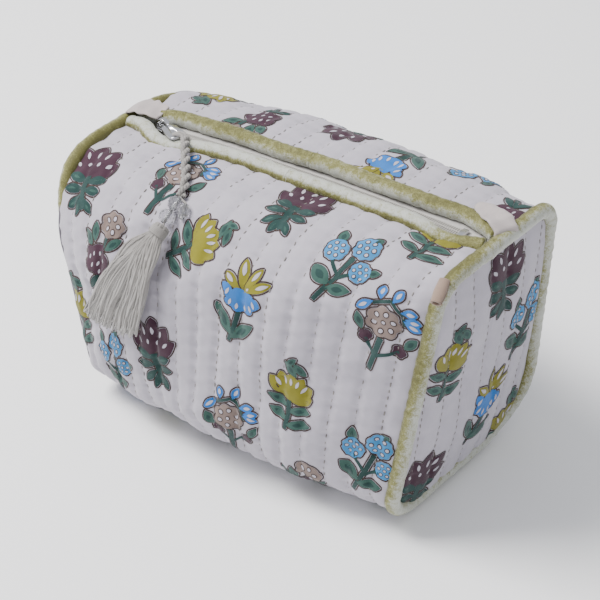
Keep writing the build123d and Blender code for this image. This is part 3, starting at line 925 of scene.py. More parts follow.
def tube_points(line, closed, radius, around):
    """Rings of points round a line, in the line's own units; radius may vary along it."""
    if closed:
        ahead, behind = np.roll(line, -1, 0), np.roll(line, 1, 0)
    else:
        ahead, behind = np.vstack([line[1:], line[-1]]), np.vstack([line[0], line[:-1]])
    along = ahead - behind
    along /= np.linalg.norm(along, axis=1, keepdims=True)
    normal = np.cross(along[0], (0.0, 0.0, 1.0))
    if np.linalg.norm(normal) < 0.2:
        normal = np.cross(along[0], (0.0, 1.0, 0.0))
    frames = []
    for step in along:
        normal = normal - step * (normal @ step)
        normal /= np.linalg.norm(normal)
        frames.append((normal.copy(), np.cross(step, normal)))
    radius = np.broadcast_to(radius, (len(line),))
    spread = np.linspace(0, 2 * np.pi, around, endpoint=False)
    rings = []
    for place, (one, two), r in zip(line, frames, radius):
        ring = np.cos(spread)[:, None] * one + np.sin(spread)[:, None] * two
        rings.append(place + r * ring)
    return np.array(rings)


def tube_into(work, rings, closed, capped=True):
    """Skins rings of points as a tube by bridging each ring to the next."""
    rows = [[work.verts.new(p) for p in ring] for ring in rings]
    pairs = list(zip(rows, rows[1:]))
    if closed:
        gap = np.linalg.norm(np.array(rings[-1])[:, None] - np.array(rings[0])[None], axis=2)
        shift = int(gap[0].argmin())
        pairs.append((rows[-1], rows[0][shift:] + rows[0][:shift]))
    count = len(rows[0])
    for one, two in pairs:
        for k in range(count):
            work.faces.new((one[k], one[(k + 1) % count], two[(k + 1) % count], two[k]))
    if not closed and capped:
        work.faces.new(rows[0][::-1])
        work.faces.new(rows[-1])


def finish_mesh(name, work, smooth=True):
    """The finished mesh of a closed shape, with its faces pointing out."""
    bmesh.ops.recalc_face_normals(work, faces=work.faces)
    mesh = bpy.data.meshes.new(name)
    work.to_mesh(mesh)
    work.free()
    if smooth:
        mesh.shade_smooth()
    return mesh


def tube_piece(name, lines, closed, radius, around, finish):
    """A piece of one or more plain tubes of the same radius along lines in mm."""
    work = bmesh.new()
    for line in lines:
        tube_into(work, tube_points(line, closed, radius, around) * MM, closed)
    return new_piece(name, finish_mesh(name, work), finish)


def velvet_roll(name, line, closed, radius, around, painted_sheen_of, lumps=0.28):
    """A velvet tube with an uneven pile and, from the function given, a painted sheen at each point."""
    rings = tube_points(line, closed, radius, around)
    out = rings - line[:, None, :]
    out /= np.linalg.norm(out, axis=2, keepdims=True)
    x, y, z = rings[..., 0], rings[..., 1], rings[..., 2]
    pile = ripple(x * 6 + z * 2, y * 6 - z * 5, 3) * 0.6 + ripple(x * 15, y * 15 + z * 13, 7) * 0.4
    pucker = np.cos(2 * np.pi * np.arange(len(line)) / 5.5)[:, None]
    rings = rings + out * (lumps * pile + 0.07 * pucker)[..., None]
    work = bmesh.new()
    tube_into(work, rings * MM, closed)
    mesh = finish_mesh(name, work)
    # painted sheen at each point, which whitens the velvet's colour
    painted_sheen = np.clip(painted_sheen_of(rings, out), 0, 1).astype(np.float32)
    layer = mesh.attributes.new("painted_sheen", "FLOAT", "POINT")
    layer.data.foreach_set("value", painted_sheen.reshape(-1))
    return mesh


def spaced(line, step, closed=False):
    """The same line with its points evenly spaced."""
    if closed:
        line = np.vstack([line, line[:1]])
    run = np.concatenate([[0], np.cumsum(np.linalg.norm(np.diff(line, axis=0), axis=1))])
    count = max(4, int(round(run[-1] / step)))
    at = np.linspace(0, run[-1], count, endpoint=not closed)
    return np.stack([np.interp(at, run, line[:, k]) for k in range(3)], 1)


for side, end in ENDS:
    to_front, to_back = (float(half_girth(np.array(float(side)), back)) for back in (0, 1))
    t = np.concatenate([np.linspace(-to_front, -0.01, 450), np.linspace(0.5, to_back, 450)])[:-1]
    ring_line = smooth_cloth(np.full_like(t, side * HALF_LENGTH), t)
    inward = np.array([0.0, 0.0, 72.0]) - ring_line * (0, 1, 1)
    inward /= np.linalg.norm(inward, axis=1, keepdims=True)
    # the ring is drawn in at the slumped shoulders on the left, and at the feet on the right
    if side < 0:
        tucked = 5.0 * np.clip((t - 14) / 26, 0, 1) + 5.5 * np.clip((-t - 50) / 26, 0, 1)
    else:
        tucked = 3.4 * np.clip((-t - 168) / 22, 0, 1) + 3.4 * np.clip((t - 168) / 22, 0, 1)
    ring_line = ring_line + (inward - (side * 0.2, 0, 0)) * tucked[:, None]
    ring_line = spaced(ring_line, 1.15, closed=True)

    # painted sheen on the piping ring: whiter where it faces out from the end, a little less on top up
    # high, with a random drift
    def ring_nap(rings, out, side=side):
        away, top = out[..., 0] * side, out[..., 2]
        drift = ripple(rings[..., 1] * 0.8, rings[..., 2] * 0.8, 5 + side)
        high = rings[..., 2] > (118 if side > 0 else 108)
        return 0.34 + 0.48 * away - 0.10 * top * high + 0.16 * drift

    name = "velvet_piping_" + end
    mesh = velvet_roll(name, ring_line, True, PIPING_RADIUS - 0.1, 28, ring_nap)
    piece = new_piece(name, mesh, VELVET)
    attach(piece, "bag")
    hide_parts("end_piping_" + end)
    core_line = spaced(ring_line, 3.0, closed=True)
    core = tube_piece("piping_filler_" + end, [core_line], True, 2.4, 12, CORD_FILL)
    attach(core, "bag")
    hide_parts("piping_cord_" + end)


# ---- Velvet welts --------------------------------------------------------------------
# Two softer velvet rolls hide the zip. They are sewn to the cloth's cut edges, meet at both
# ends, and stand apart where the slider and the filling push them.
def welt_line(t_side, part):
    """The middle line of the front (-1) or back (+1) welt at places along the bag."""
    part_share = np.clip((part + 100) / 214, 0, 1)
    apart = 4.4 + 4.75 * np.clip(3 * np.sin(np.pi * part_share), 0, 1) ** 0.8
    apart = apart + 3.0 * np.exp(-(((part + 92) / 13) ** 2)) + 0.35 * np.sin(part / 13)
    apart = apart + 3.4 * np.exp(-(((part + 82) / 17) ** 2)) * (t_side < 0)
    apart = apart + 1.2 * np.exp(-(((part - 92) / 12) ** 2))
    bow = -0.8 * np.exp(-(((part - 20) / 55) ** 2))
    y = t_side * apart + bow
    base = smooth_cloth(part, t_side * np.maximum(np.abs(y), 1.0))
    dip = 0.9 * np.exp(-(((np.abs(part) - 113) / 6) ** 2))
    dip = dip + 3.1 * np.exp(-(((part + 78) / 14) ** 2)) * (t_side < 0)
    dip = dip + 3.0 * np.exp(-(((part - 97) / 13) ** 2)) * (t_side < 0)
    return np.stack([base[:, 0], y, base[:, 2] + 0.9 - dip + 0.3 * np.sin(part / 9 + t_side)], 1)


WELT_END = 113.5
WELT_RADIUS = 4.2
for t_side, face, a_side, end in QUARTERS:
    line = spaced(welt_line(t_side, np.linspace(0, a_side * WELT_END, 130)), 0.9)

    # painted sheen on the welts: the front welt whitish where it faces up, less so near its right end;
    # the back welt whitish on its lower front side, with a random drift
    def welt_nap(rings, out, t_side=t_side):
        x = rings[..., 0]
        if t_side < 0:
            lit = np.clip((106 - x) / 24, 0.15, 1)
            return 0.14 + lit * 0.72 * np.clip((out[..., 2] - 0.16) * 2.0, 0, 1)
        low = np.clip(-out[..., 1] * 0.8 - out[..., 2] * 0.6, 0, 1)
        return 0.22 + 0.14 * ripple(x * 0.9, rings[..., 1] * 3, 9) + 0.7 * low

    name = "velvet_welt_" + face + "_" + end
    mesh = velvet_roll(name, line, False, WELT_RADIUS, 26, welt_nap, lumps=0.34)
    piece = new_piece(name, mesh, VELVET)
    core_name = "welt_filler_" + face + "_" + end
    core = tube_piece(core_name, [spaced(line, 2.0)], False, 2.3, 12, CORD_FILL)
    if end == "left":
        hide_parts("zip_welt_" + face)
        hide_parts("welt_cord_" + face)
    bend_with_mouth(piece, t_side, a_side)
    bend_with_mouth(core, t_side, a_side)


# ---- Zip -----------------------------------------------------------------------------
# Woven tape sewn under the welts, with a nylon coil along each edge, crimped stops at both
# ends and a nickel slider.
TAPE = cotton("zip tape", (0.50, 0.48, 0.46), (0.40, 0.385, 0.37), bump=0.6, spacing=0.0009)


def moulded(name, colour, rough, metal=0.0):
    """Moulded nylon or plated metal with faint handling marks."""
    finish = bpy.data.materials.new(name)
    finish.use_nodes = True
    tree = finish.node_tree
    shader = tree.nodes["Principled BSDF"]
    shader.inputs["Metallic"].default_value = metal
    place = node(tree, "ShaderNodeTexCoord")
    marks = node(tree, "ShaderNodeTexNoise", Scale=900.0, Detail=6.0, Roughness=0.65)
    tree.links.new(place.outputs["Object"], marks.inputs["Vector"])
    worn = node(tree, "ShaderNodeMapRange")
    worn.inputs["To Min"].default_value = rough * 0.6
    worn.inputs["To Max"].default_value = min(1.0, rough * 1.5)
    tint = node(tree, "ShaderNodeValToRGB")
    tint.color_ramp.elements[0].color = (*[c * 0.8 for c in colour], 1)
    tint.color_ramp.elements[1].color = (*colour, 1)
    tree.links.new(marks.outputs["Fac"], worn.inputs["Value"])
    tree.links.new(worn.outputs["Result"], shader.inputs["Roughness"])
    tree.links.new(marks.outputs["Fac"], tint.inputs["Fac"])
    tree.links.new(tint.outputs["Color"], shader.inputs["Base Color"])
    relief = node(tree, "ShaderNodeBump", Strength=0.12, Distance=0.0001)
    tree.links.new(marks.outputs["Fac"], relief.inputs["Height"])
    tree.links.new(relief.outputs["Normal"], shader.inputs["Normal"])
    return finish


COIL = moulded("zip coil nylon", (0.47, 0.45, 0.42), 0.5)
NICKEL = moulded("polished nickel", (0.66, 0.66, 0.68), 0.16, metal=1.0)
SLOPE = math.atan2(24, 235)


def zip_level(a):
    """Height of the zip tape's face under the welts."""
    return smooth_cloth(a, np.full_like(a, 2.0))[..., 2] - 3.4


def merge_part(work, part):
    """Adds a finished part to a mesh being built."""
    made = bpy.data.meshes.new("part")
    part.to_mesh(made)
    part.free()
    work.from_mesh(made)
    bpy.data.meshes.remove(made)


def round_off(work, edges, offset, segments=3):
    """Rounds edges by an offset in metres."""
    bmesh.ops.bevel(
        work, geom=edges, offset=offset, affect="EDGES", segments=segments, profile=0.5, material=-1
    )


def bar(work, low, high, soften):
    """A box between two corners with rounded edges, added to a mesh being built."""
    part = bmesh.new()
    size = Vector(high) - Vector(low)
    middle = (Vector(high) + Vector(low)) / 2
    placed = Matrix.Translation(middle) @ Matrix.Diagonal((*size, 1))
    bmesh.ops.create_cube(part, size=1.0, matrix=placed)
    round_off(part, part.edges[:], soften)
    merge_part(work, part)


COIL_ENDS = {-1: -93.0, 1: 96.0}
COIL_PITCH = 1.25
for t_side, face, a_side, end in QUARTERS:
    part = np.linspace(0, a_side * 112.0, 90)
    across = np.linspace(0.15, 12.0, 8)
    A, Y = np.meshgrid(part, across)
    Z = zip_level(A) + 0.25 * np.exp(-(((Y - 3.4) / 1.2) ** 2)) + 0.1 * np.sin(A / 6)
    points = np.stack([smooth_cloth(A, 0 * A + 2)[..., 0], t_side * Y, Z], -1) * MM
    name = "tape_" + face + "_" + end
    piece = new_piece(name, grid_mesh(name, points, flip=(t_side * a_side) < 0), TAPE)
    # the two tapes' coils mesh: each tooth reaches a little over the middle, in turn
    teeth = bmesh.new()
    first = 0.6 * a_side + (0.3 if t_side > 0 else 0.9)
    for at in np.arange(first, COIL_ENDS[a_side], COIL_PITCH * a_side):
        level = float(zip_level(np.array([at]))[0])
        x = float(smooth_cloth(np.array([at]), np.array([2.0]))[0, 0])
        y0, y1 = sorted((t_side * 0.05 - t_side * 0.35, t_side * 2.9))
        low, high = Vector((x - 0.33, y0, level + 0.1)), Vector((x + 0.33, y1, level + 1.15))
        bar(teeth, low * MM, high * MM, 0.00022)
    coil_name = "coil_" + face + "_" + end
    coil = new_piece(coil_name, finish_mesh(coil_name, teeth), COIL)
    if end == "left":
        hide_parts("zip_tape_" + face)
        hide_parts("zip_teeth_" + face)
    bend_with_mouth(piece, t_side, a_side)
    bend_with_mouth(coil, t_side, a_side)
for stop in ("zip_top_stop_front", "zip_top_stop_back", "zip_bottom_stop"):
    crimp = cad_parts[stop]
    crimp.data.materials.clear()
    crimp.data.materials.append(NICKEL)


# ---- Slider and pull -----------------------------------------------------------------
# A die-cast, nickel-plated slider: two plates joined by a post, an arch on top, and a pull
# with a slot at its end that the cord goes through.
ZIP_MIDDLE = 141.5


def zip_place(u, y, w):
    """A point in the zip's own plane, in metres: u along the zip, w out of the cloth."""
    x = u * math.cos(SLOPE) - w * math.sin(SLOPE)
    z = ZIP_MIDDLE + u * math.sin(SLOPE) + w * math.cos(SLOPE)
    return Vector((x, y, z)) * MM


def to_zip_plane(work):
    """Moves a shape from level coordinates to the zip's sloping plane."""
    turn = Matrix.Rotation(-SLOPE, 4, "Y")
    up = Matrix.Translation((0, 0, ZIP_MIDDLE * MM))
    bmesh.ops.transform(work, matrix=up @ turn, verts=work.verts)


def plate(work, outline, low, high, soften):
    """A flat plate with an outline in the zip's plane and rounded edges."""
    part = bmesh.new()
    corners = [part.verts.new((u * MM, y * MM, low * MM)) for u, y in outline]
    face = part.faces.new(corners)
    raised = bmesh.ops.extrude_face_region(part, geom=[face])
    top = [v for v in raised["geom"] if isinstance(v, bmesh.types.BMVert)]
    bmesh.ops.translate(part, verts=top, vec=(0, 0, (high - low) * MM))
    bmesh.ops.recalc_face_normals(part, faces=part.faces)
    flat_edges = [e for e in part.edges if abs(e.verts[0].co.z - e.verts[1].co.z) < 1e-7]
    round_off(part, flat_edges, soften * MM)
    merge_part(work, part)


SLIDER_U = -95.0
slider = bmesh.new()
nose = [(-5.9, -2.2), (-4.6, -3.4), (-1.0, -4.2), (2.0, -4.7), (5.2, -4.7), (5.9, -3.9)]
nose = nose + [(u, -y) for u, y in nose[::-1]]
outline = [(SLIDER_U + u, y) for u, y in nose]
plate(slider, outline, -1.75, -0.28, 0.45)
plate(slider, outline, -6.2, -4.9, 0.45)
post = [(SLIDER_U + u, y) for u, y in ((-5.6, -0.9), (-2.6, -0.6), (-2.6, 0.6), (-5.6, 0.9))]
plate(slider, post, -5.2, -1.2, 0.2)
for y_side in (-1, 1):
    rail = [(SLIDER_U + u, y_side * y) for u, y in ((-1.5, 3.7), (5.6, 4.6), (5.6, 3.7), (-1.5, 3.1))]
    plate(slider, rail, -3.5, -1.3, 0.25)
to_zip_plane(slider)
slider_body = new_piece("slider_shell", finish_mesh("slider_shell", slider), NICKEL)
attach(slider_body, "slider")
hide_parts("slider_body")

arch_work = bmesh.new()
ARCH_HALF, ARCH_THICK = 1.3, 0.75
rows = []
for angle in np.linspace(0, np.pi, 17):
    u, w = SLIDER_U + 3.7 * np.cos(angle), -0.6 + 4.1 * np.sin(angle) ** 0.7
    out_u, out_w = math.cos(angle) * ARCH_THICK, math.sin(angle) * ARCH_THICK
    inner, outer = (u - out_u, w - out_w), (u + out_u, w + out_w)
    corners = [(inner, -1), (outer, -1), (outer, 1), (inner, 1)]
    rows.append([Vector((cu, y_side * ARCH_HALF, cw)) * MM for (cu, cw), y_side in corners])
tube_into(arch_work, rows, False)
round_off(arch_work, arch_work.edges[:], 0.0002, segments=2)
to_zip_plane(arch_work)
bridge = new_piece("slider_arch", finish_mesh("slider_arch", arch_work), NICKEL)
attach(bridge, "slider")
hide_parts("slider_bridge")

# the pull is turned on its pin a little towards the front, and lies along the cloth
PIN = zip_place(SLIDER_U, 0, 1.42)
pull = bmesh.new()
waist = [(0.0, 1.7), (3.4, 1.7), (5.4, 2.4), (8.2, 4.3), (21.5, 4.9), (24.2, 4.2), (25.0, 2.6)]
waist = waist + [(u, -y) for u, y in waist[::-1]]
plate(pull, waist, -0.6, 0.6, 0.3)
pull_mesh = finish_mesh("pull_plate", pull)


def cut_slot(piece, length, width, at):
    """Cuts a slot through a plate with a rounded block."""
    block = bmesh.new()
    centre = Matrix.Translation((at * MM, 0, 0))
    size = Matrix.Diagonal((length * MM, width * MM, 0.01, 1))
    bmesh.ops.create_cube(block, size=1.0, matrix=centre @ size)
    upright = [e for e in block.edges if abs(e.verts[0].co.z - e.verts[1].co.z) > 1e-4]
    round_off(block, upright, 0.0009, segments=4)
    cutter = new_piece("cutter", finish_mesh("cutter", block))
    cut = piece.modifiers.new("slot", "BOOLEAN")
    cut.operation = "DIFFERENCE"
    cut.solver = "EXACT"
    cut.object = cutter
    bpy.context.view_layer.update()
    finished = piece.evaluated_get(bpy.context.evaluated_depsgraph_get())
    solid = bpy.data.meshes.new_from_object(finished)
    piece.modifiers.clear()
    piece.data = solid
    bpy.data.objects.remove(cutter)


pull_piece = new_piece("zip_pull", pull_mesh, NICKEL)
cut_slot(pull_piece, 5.6, 3.8, 20.2)
cut_slot(pull_piece, 2.6, 2.0, 1.2)
to_front = Matrix.Rotation(math.radians(-27), 4, "Z")
along_cloth = Matrix.Rotation(-SLOPE - math.radians(7), 4, "Y")
pull_lay = Matrix.Translation(PIN) @ to_front @ along_cloth
pin_work = bmesh.new()
turned = Matrix.Rotation(math.pi / 2, 4, "X")
PIN_RADIUS, PIN_LENGTH = 0.0008, 0.0050
bmesh.ops.create_cone(
    pin_work, cap_ends=True, segments=16, radius1=PIN_RADIUS, radius2=PIN_RADIUS,
    depth=PIN_LENGTH, matrix=turned,
)
pin_work.from_mesh(pull_piece.data)
bmesh.ops.transform(pin_work, matrix=pull_lay, verts=pin_work.verts)
pull_piece.data = finish_mesh("zip_pull", pin_work, smooth=False)
pull_piece.data.materials.append(NICKEL)
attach(pull_piece, "pull")
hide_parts("pull_tab")


# ---- Cotton tabs and side loop -------------------------------------------------------
# Folded strips of plain cotton, sewn into the end seams over the zip's ends, and a small
# rolled tan strip caught in the seam beside the front shoulder.
TAB_COTTON = cotton("tab cotton", (0.42, 0.372, 0.362), (0.365, 0.322, 0.315), bump=0.4)
TAN_COTTON = cotton("tan cotton", (0.30, 0.215, 0.165), (0.22, 0.155, 0.12), bump=0.4)


def ribbon(name, spine, across, wide, thick, finish, waves):
    """A soft folded strip: its spine, the direction across it and its width along the way."""
    spine = spaced(np.array(spine, float), 0.8)
    share = np.linspace(0, 1, len(spine))
    wide = np.interp(share, np.linspace(0, 1, len(wide)), wide)
    ahead = np.gradient(spine, axis=0)
    ahead /= np.linalg.norm(ahead, axis=1, keepdims=True)
    side = np.array(across, float) - ahead * (across * ahead).sum(1, keepdims=True)
    side /= np.linalg.norm(side, axis=1, keepdims=True)
    up = np.cross(ahead, side)
    turn = np.linspace(0, 2 * np.pi, 36, endpoint=False)
    u = np.sign(np.cos(turn)) * np.abs(np.cos(turn)) ** 0.6
    v = np.sign(np.sin(turn)) * np.abs(np.sin(turn)) ** 0.7
    rows = []
    for k in range(len(spine)):
        curl = waves * np.sin(u * 3.0 + share[k] * 5) + 0.25 * np.sin(share[k] * 19 + u * 2)
        edge = 1 + 0.05 * np.sin(share[k] * 23)
        flat = (u * wide[k] / 2 * edge)[:, None] * side[k]
        rows.append(spine[k] + flat + (v * thick / 2 + curl)[:, None] * up[k])
    work = bmesh.new()
    tube_into(work, np.array(rows) * MM, False)
    return new_piece(name, finish_mesh(name, work), finish)


left_spine = [
    (-117.2, 4.5, 126.5), (-118.2, 4.5, 130.6), (-116.0, 4.2, 134.2),
    (-110.0, 4.0, 135.8), (-103.5, 3.8, 135.9), (-98.6, 4.4, 135.2),
]
left_widths = [17.5, 17.4, 17.0, 16.0, 14.0, 12.0]
left_tab = ribbon(
    "cotton_tab_left", left_spine, (0.15, 1, 0), left_widths, 1.9, TAB_COTTON, waves=0.5
)
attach(left_tab, "bag")
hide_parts("zip_tab_left")
right_spine = [
    (117.6, 6.0, 151.5), (117.2, 6.4, 156.2), (112.6, 8.4, 158.6),
    (106.0, 11.6, 157.6), (99.5, 14.8, 156.4), (95.6, 16.8, 155.6),
]
right_widths = [12.4, 12.6, 12.4, 12.0, 10.6, 8.0]
right_tab = ribbon(
    "cotton_tab_right", right_spine, (0.5, 1, 0.05), right_widths, 2.3, TAB_COTTON, waves=0.55
)
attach(right_tab, "bag")
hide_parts("zip_tab_right")

# the loop is one strip rolled round until its edges nearly meet: an outer and an inner face
loop_work = bmesh.new()
LOOP_LENGTH, LOOP_THICK = 12.5, 0.9
top, bottom = np.array([117.2, -41.6, 154.2]), np.array([120.2, -51.9, 148.8])
way = (bottom - top) / np.linalg.norm(bottom - top)
flat_way = np.cross(way, (1.0, 0.0, 0.0))
flat_way /= np.linalg.norm(flat_way)
wide_way = np.cross(flat_way, way)
turn = np.linspace(0.25, 2 * np.pi - 0.05, 30)
rows = []
for share in np.linspace(0, 1, 22):
    middle = top + way * LOOP_LENGTH * share
    r = 2.7 - 0.2 * math.cos(share * 6)
    for wall, angles in ((r, turn), (r - LOOP_THICK, turn[::-1])):
        wide, flat = wall * 1.12 * np.cos(angles), wall * 0.88 * np.sin(angles)
        rows.append(middle + wide[:, None] * wide_way + flat[:, None] * flat_way)
rows = np.array(rows).reshape(22, -1, 3)
tube_into(loop_work, rows * MM, False, capped=False)
loop_work.verts.ensure_lookup_table()
count = rows.shape[1]
for first in (0, len(loop_work.verts) - count):
    ring = [loop_work.verts[first + k] for k in range(count)]
    for k in range(count // 2 - 1):
        loop_work.faces.new((ring[k], ring[k + 1], ring[count - 2 - k], ring[count - 1 - k]))
side_loop = new_piece("rolled_loop", finish_mesh("rolled_loop", loop_work), TAN_COTTON)
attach(side_loop, "bag")
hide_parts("side_loop")


# ---- Pull cord -----------------------------------------------------------------------
# One cotton cord doubled through the pull and twisted on itself, 4.4 mm across both legs.
# It lies over the front welt and hangs the beads and the tassel over the shoulder.
CORD_COTTON = cotton(
    "twisted cord cotton", (0.31, 0.294, 0.278), (0.22, 0.207, 0.195), bump=0.6, spacing=0.0008
)
CORD_ROUTE = [
    (-69.6, -10.6, 139.2),
    (-64.5, -16.4, 141.6),
    (-58.0, -23.5, 141.6),
    (-51.0, -31.0, 141.4),
    (-44.5, -38.0, 141.0),
    (-39.2, -44.8, 140.2),
    (-36.6, -50.8, 138.8),
]
guide = bpy.data.curves.new("cord line", "CURVE")
guide.dimensions = "3D"
guide.resolution_u = 24
line = guide.splines.new("NURBS")
line.points.add(len(CORD_ROUTE) - 1)
for point, place in zip(line.points, CORD_ROUTE):
    point.co = (*[c * MM for c in place], 1)
line.order_u = 3
line.use_endpoint_u = True
guide_object = bpy.data.objects.new("cord line", guide)
cord_line_mesh = bpy.data.meshes.new_from_object(guide_object)
cord_path = np.array([tuple(v.co) for v in cord_line_mesh.vertices]) / MM
bpy.data.objects.remove(guide_object)
cord_path = spaced(cord_path, 0.45)
cord_run = np.linalg.norm(np.diff(cord_path, axis=0), axis=1).sum()
# two legs turn about each other, and each is laid up from three plies that turn the other way
LEG_REACH, LEG_PITCH = 1.25, 15.0
PLY_REACH, PLY_PITCH = 0.66, 6.2
core_rings = tube_points(cord_path, False, 1.0, 4)
one_way = core_rings[:, 0] - cord_path
two_way = core_rings[:, 1] - cord_path
at = np.linspace(0, cord_run, len(cord_path))
strands = []
for leg in (0, np.pi):
    for ply in (0, 2.094, 4.189):
        leg_turn = leg + 2 * np.pi * at / LEG_PITCH
        ply_turn = ply - 2 * np.pi * at / PLY_PITCH
        offset_one = LEG_REACH * np.cos(leg_turn) + PLY_REACH * np.cos(ply_turn)
        offset_two = LEG_REACH * np.sin(leg_turn) + PLY_REACH * np.sin(ply_turn)
        strands.append(cord_path + one_way * offset_one[:, None] + two_way * offset_two[:, None])
pull_cord = tube_piece("twisted_cord", strands, False, 0.74, 8, CORD_COTTON)
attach(pull_cord, "cord")
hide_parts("pull_cord")

# the end of the cord's loop, where it goes down through the slot in the pull
start = np.array(CORD_ROUTE[0])
tip = np.array(tuple((pull_lay @ Vector((0.0222, 0, 0))) / MM))
legs = []
for shift in (-1.0, 1.0):
    leg = [
        start + (0, shift, 0.2),
        start + (-2.6, 1.4 + shift, 0.6),
        tip + (0.2, shift * 0.9, 1.5),
        tip + (-2.4, shift * 0.7, 0.1),
        tip + (-0.6, shift * 0.7, -1.4),
    ]
    legs.append(spaced(np.array(leg), 0.5))
cord_eye = tube_piece("cord_eye", legs, False, 1.05, 10, CORD_COTTON)
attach(cord_eye, "cord")


# ---- Beads ---------------------------------------------------------------------------
# Three cut-glass beads threaded on the cord's end: two round ones above the tassel and a long
# one on its own short thread.
def crystal():
    """Clear glass, a little hazed where it has been handled."""
    finish = bpy.data.materials.new("cut glass")
    finish.use_nodes = True
    tree = finish.node_tree
    shader = tree.nodes["Principled BSDF"]
    shader.inputs["Transmission Weight"].default_value = 0.95
    shader.inputs["IOR"].default_value = 1.52
    shader.inputs["Coat Weight"].default_value = 0.5
    place = node(tree, "ShaderNodeTexCoord")
    haze = node(tree, "ShaderNodeTexNoise", Scale=600.0, Detail=4.0)
    tree.links.new(place.outputs["Object"], haze.inputs["Vector"])
    worn = node(tree, "ShaderNodeMapRange")
    worn.inputs["To Min"].default_value = 0.03
    worn.inputs["To Max"].default_value = 0.16
    tree.links.new(haze.outputs["Fac"], worn.inputs["Value"])
    tree.links.new(worn.outputs["Result"], shader.inputs["Roughness"])
    tint = node(tree, "ShaderNodeValToRGB")
    tint.color_ramp.elements[0].color = (0.70, 0.71, 0.74, 1)
    tint.color_ramp.elements[1].color = (0.84, 0.84, 0.86, 1)
    tree.links.new(haze.outputs["Fac"], tint.inputs["Fac"])
    tree.links.new(tint.outputs["Color"], shader.inputs["Base Color"])
    return finish


CRYSTAL = crystal()


# rings of a bead's outline, as shares of its radius and of half its length, outside then bore
BEAD_RINGS = (
    (0.30, -0.96), (0.72, -0.72), (1.0, -0.25), (1.0, 0.25),
    (0.72, 0.72), (0.30, 0.96), (0.2, 0.7), (0.2, -0.7),
)


def cut_bead(name, centre, way, radius, half, sides):
    """A bead with rings of flat facets, bored along its length."""
    work = bmesh.new()
    way = Vector(way).normalized()
    turn = Vector((0, 0, 1)).rotation_difference(way).to_matrix().to_4x4()
    angles = np.linspace(0, 2 * np.pi, sides, endpoint=False)
    rows = []
    for k, (wide, level) in enumerate(BEAD_RINGS):
        shift = (k % 2) * math.pi / sides
        ring = []
        for a in angles + shift:
            x, y = radius * wide * math.cos(a), radius * wide * math.sin(a)
            ring.append(work.verts.new((x, y, half * level)))
        rows.append(ring)
    for number, (one, two) in enumerate(zip(rows, rows[1:] + rows[:1])):
        for k in range(sides):
            nxt = (k + 1) % sides
            if number % 2 == 0:
                work.faces.new((one[k], one[nxt], two[k]))
                work.faces.new((one[nxt], two[nxt], two[k]))
            else:
                work.faces.new((one[k], one[nxt], two[nxt]))
                work.faces.new((one[k], two[nxt], two[k]))
    placed = Matrix.Translation(Vector(centre) * MM) @ turn @ Matrix.Scale(MM, 4)
    bmesh.ops.transform(work, matrix=placed, verts=work.verts)
    piece = new_piece(name, finish_mesh(name, work, smooth=False), CRYSTAL)
    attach(piece, "cord")
    return piece


UPPER = np.array([-36.0, -54.9, 136.6])
LOWER = np.array([-36.2, -61.6, 132.6])
bead_one = cut_bead("glass_bead_upper", UPPER, LOWER - UPPER, 4.4, 4.0, 10)
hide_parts("bead_upper")
bead_two = cut_bead("glass_bead_lower", LOWER, LOWER - UPPER, 4.2, 3.8, 10)
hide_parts("bead_lower")
SIDE = np.array([-29.2, -57.0, 136.2])
bead_three = cut_bead("glass_bead_side", SIDE, (0.12, -0.62, -0.78), 2.8, 4.2, 8)
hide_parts("bead_side")
cord_end = np.array(CORD_ROUTE[-1])
TASSEL_HEAD = np.array([-34.6, -66.4, 130.4])
main_thread = [cord_end, UPPER, LOWER, TASSEL_HEAD]
side_thread = [
    cord_end + (0.6, -1, 0),
    (UPPER + SIDE) / 2 + (0.6, 2.2, 3.0),
    SIDE + (-0.6, 2.6, 3.3),
    SIDE + (0.5, -2.6, -3.3),
]
ways = [spaced(np.array(way), 0.6) for way in (main_thread, side_thread)]
bead_thread = tube_piece("beading_thread", ways, False, 0.55, 8, CORD_COTTON)
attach(bead_thread, "cord")
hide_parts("bead_thread")


# ---- Tassel --------------------------------------------------------------------------
# A skein of soft cotton threads folded over a knot and bound at the neck. The threads bend
# over the bag's shoulder and fan out; the outer ones stray.
TASSEL = cotton(
    "tassel cotton", (0.29, 0.274, 0.258), (0.20, 0.187, 0.175),
    sheen=0.4, bump=0.3, spacing=0.0008,
)
NECK = np.array([-35.6, -71.0, 126.4])
THREAD_COUNT = 260
neck_way = (NECK - TASSEL_HEAD) / np.linalg.norm(NECK - TASSEL_HEAD)


def through(way, at):
    """A smooth curve through six points, at places from 0 to 5 along them."""
    i = np.clip(at.astype(int), 0, 4)
    s = (at - i)[:, None]
    p, q = way[i], way[i + 1]
    before = np.where(i[:, None] > 0, way[np.maximum(i - 1, 0)], 2 * way[0] - way[1])
    after = np.where(i[:, None] < 4, way[np.minimum(i + 2, 5)], 2 * way[5] - way[4])
    bend = (2 * before - 5 * p + 4 * q - after) * s**2
    return 0.5 * (2 * p + (q - before) * s + bend + (3 * p - before - 3 * q + after) * s**3)


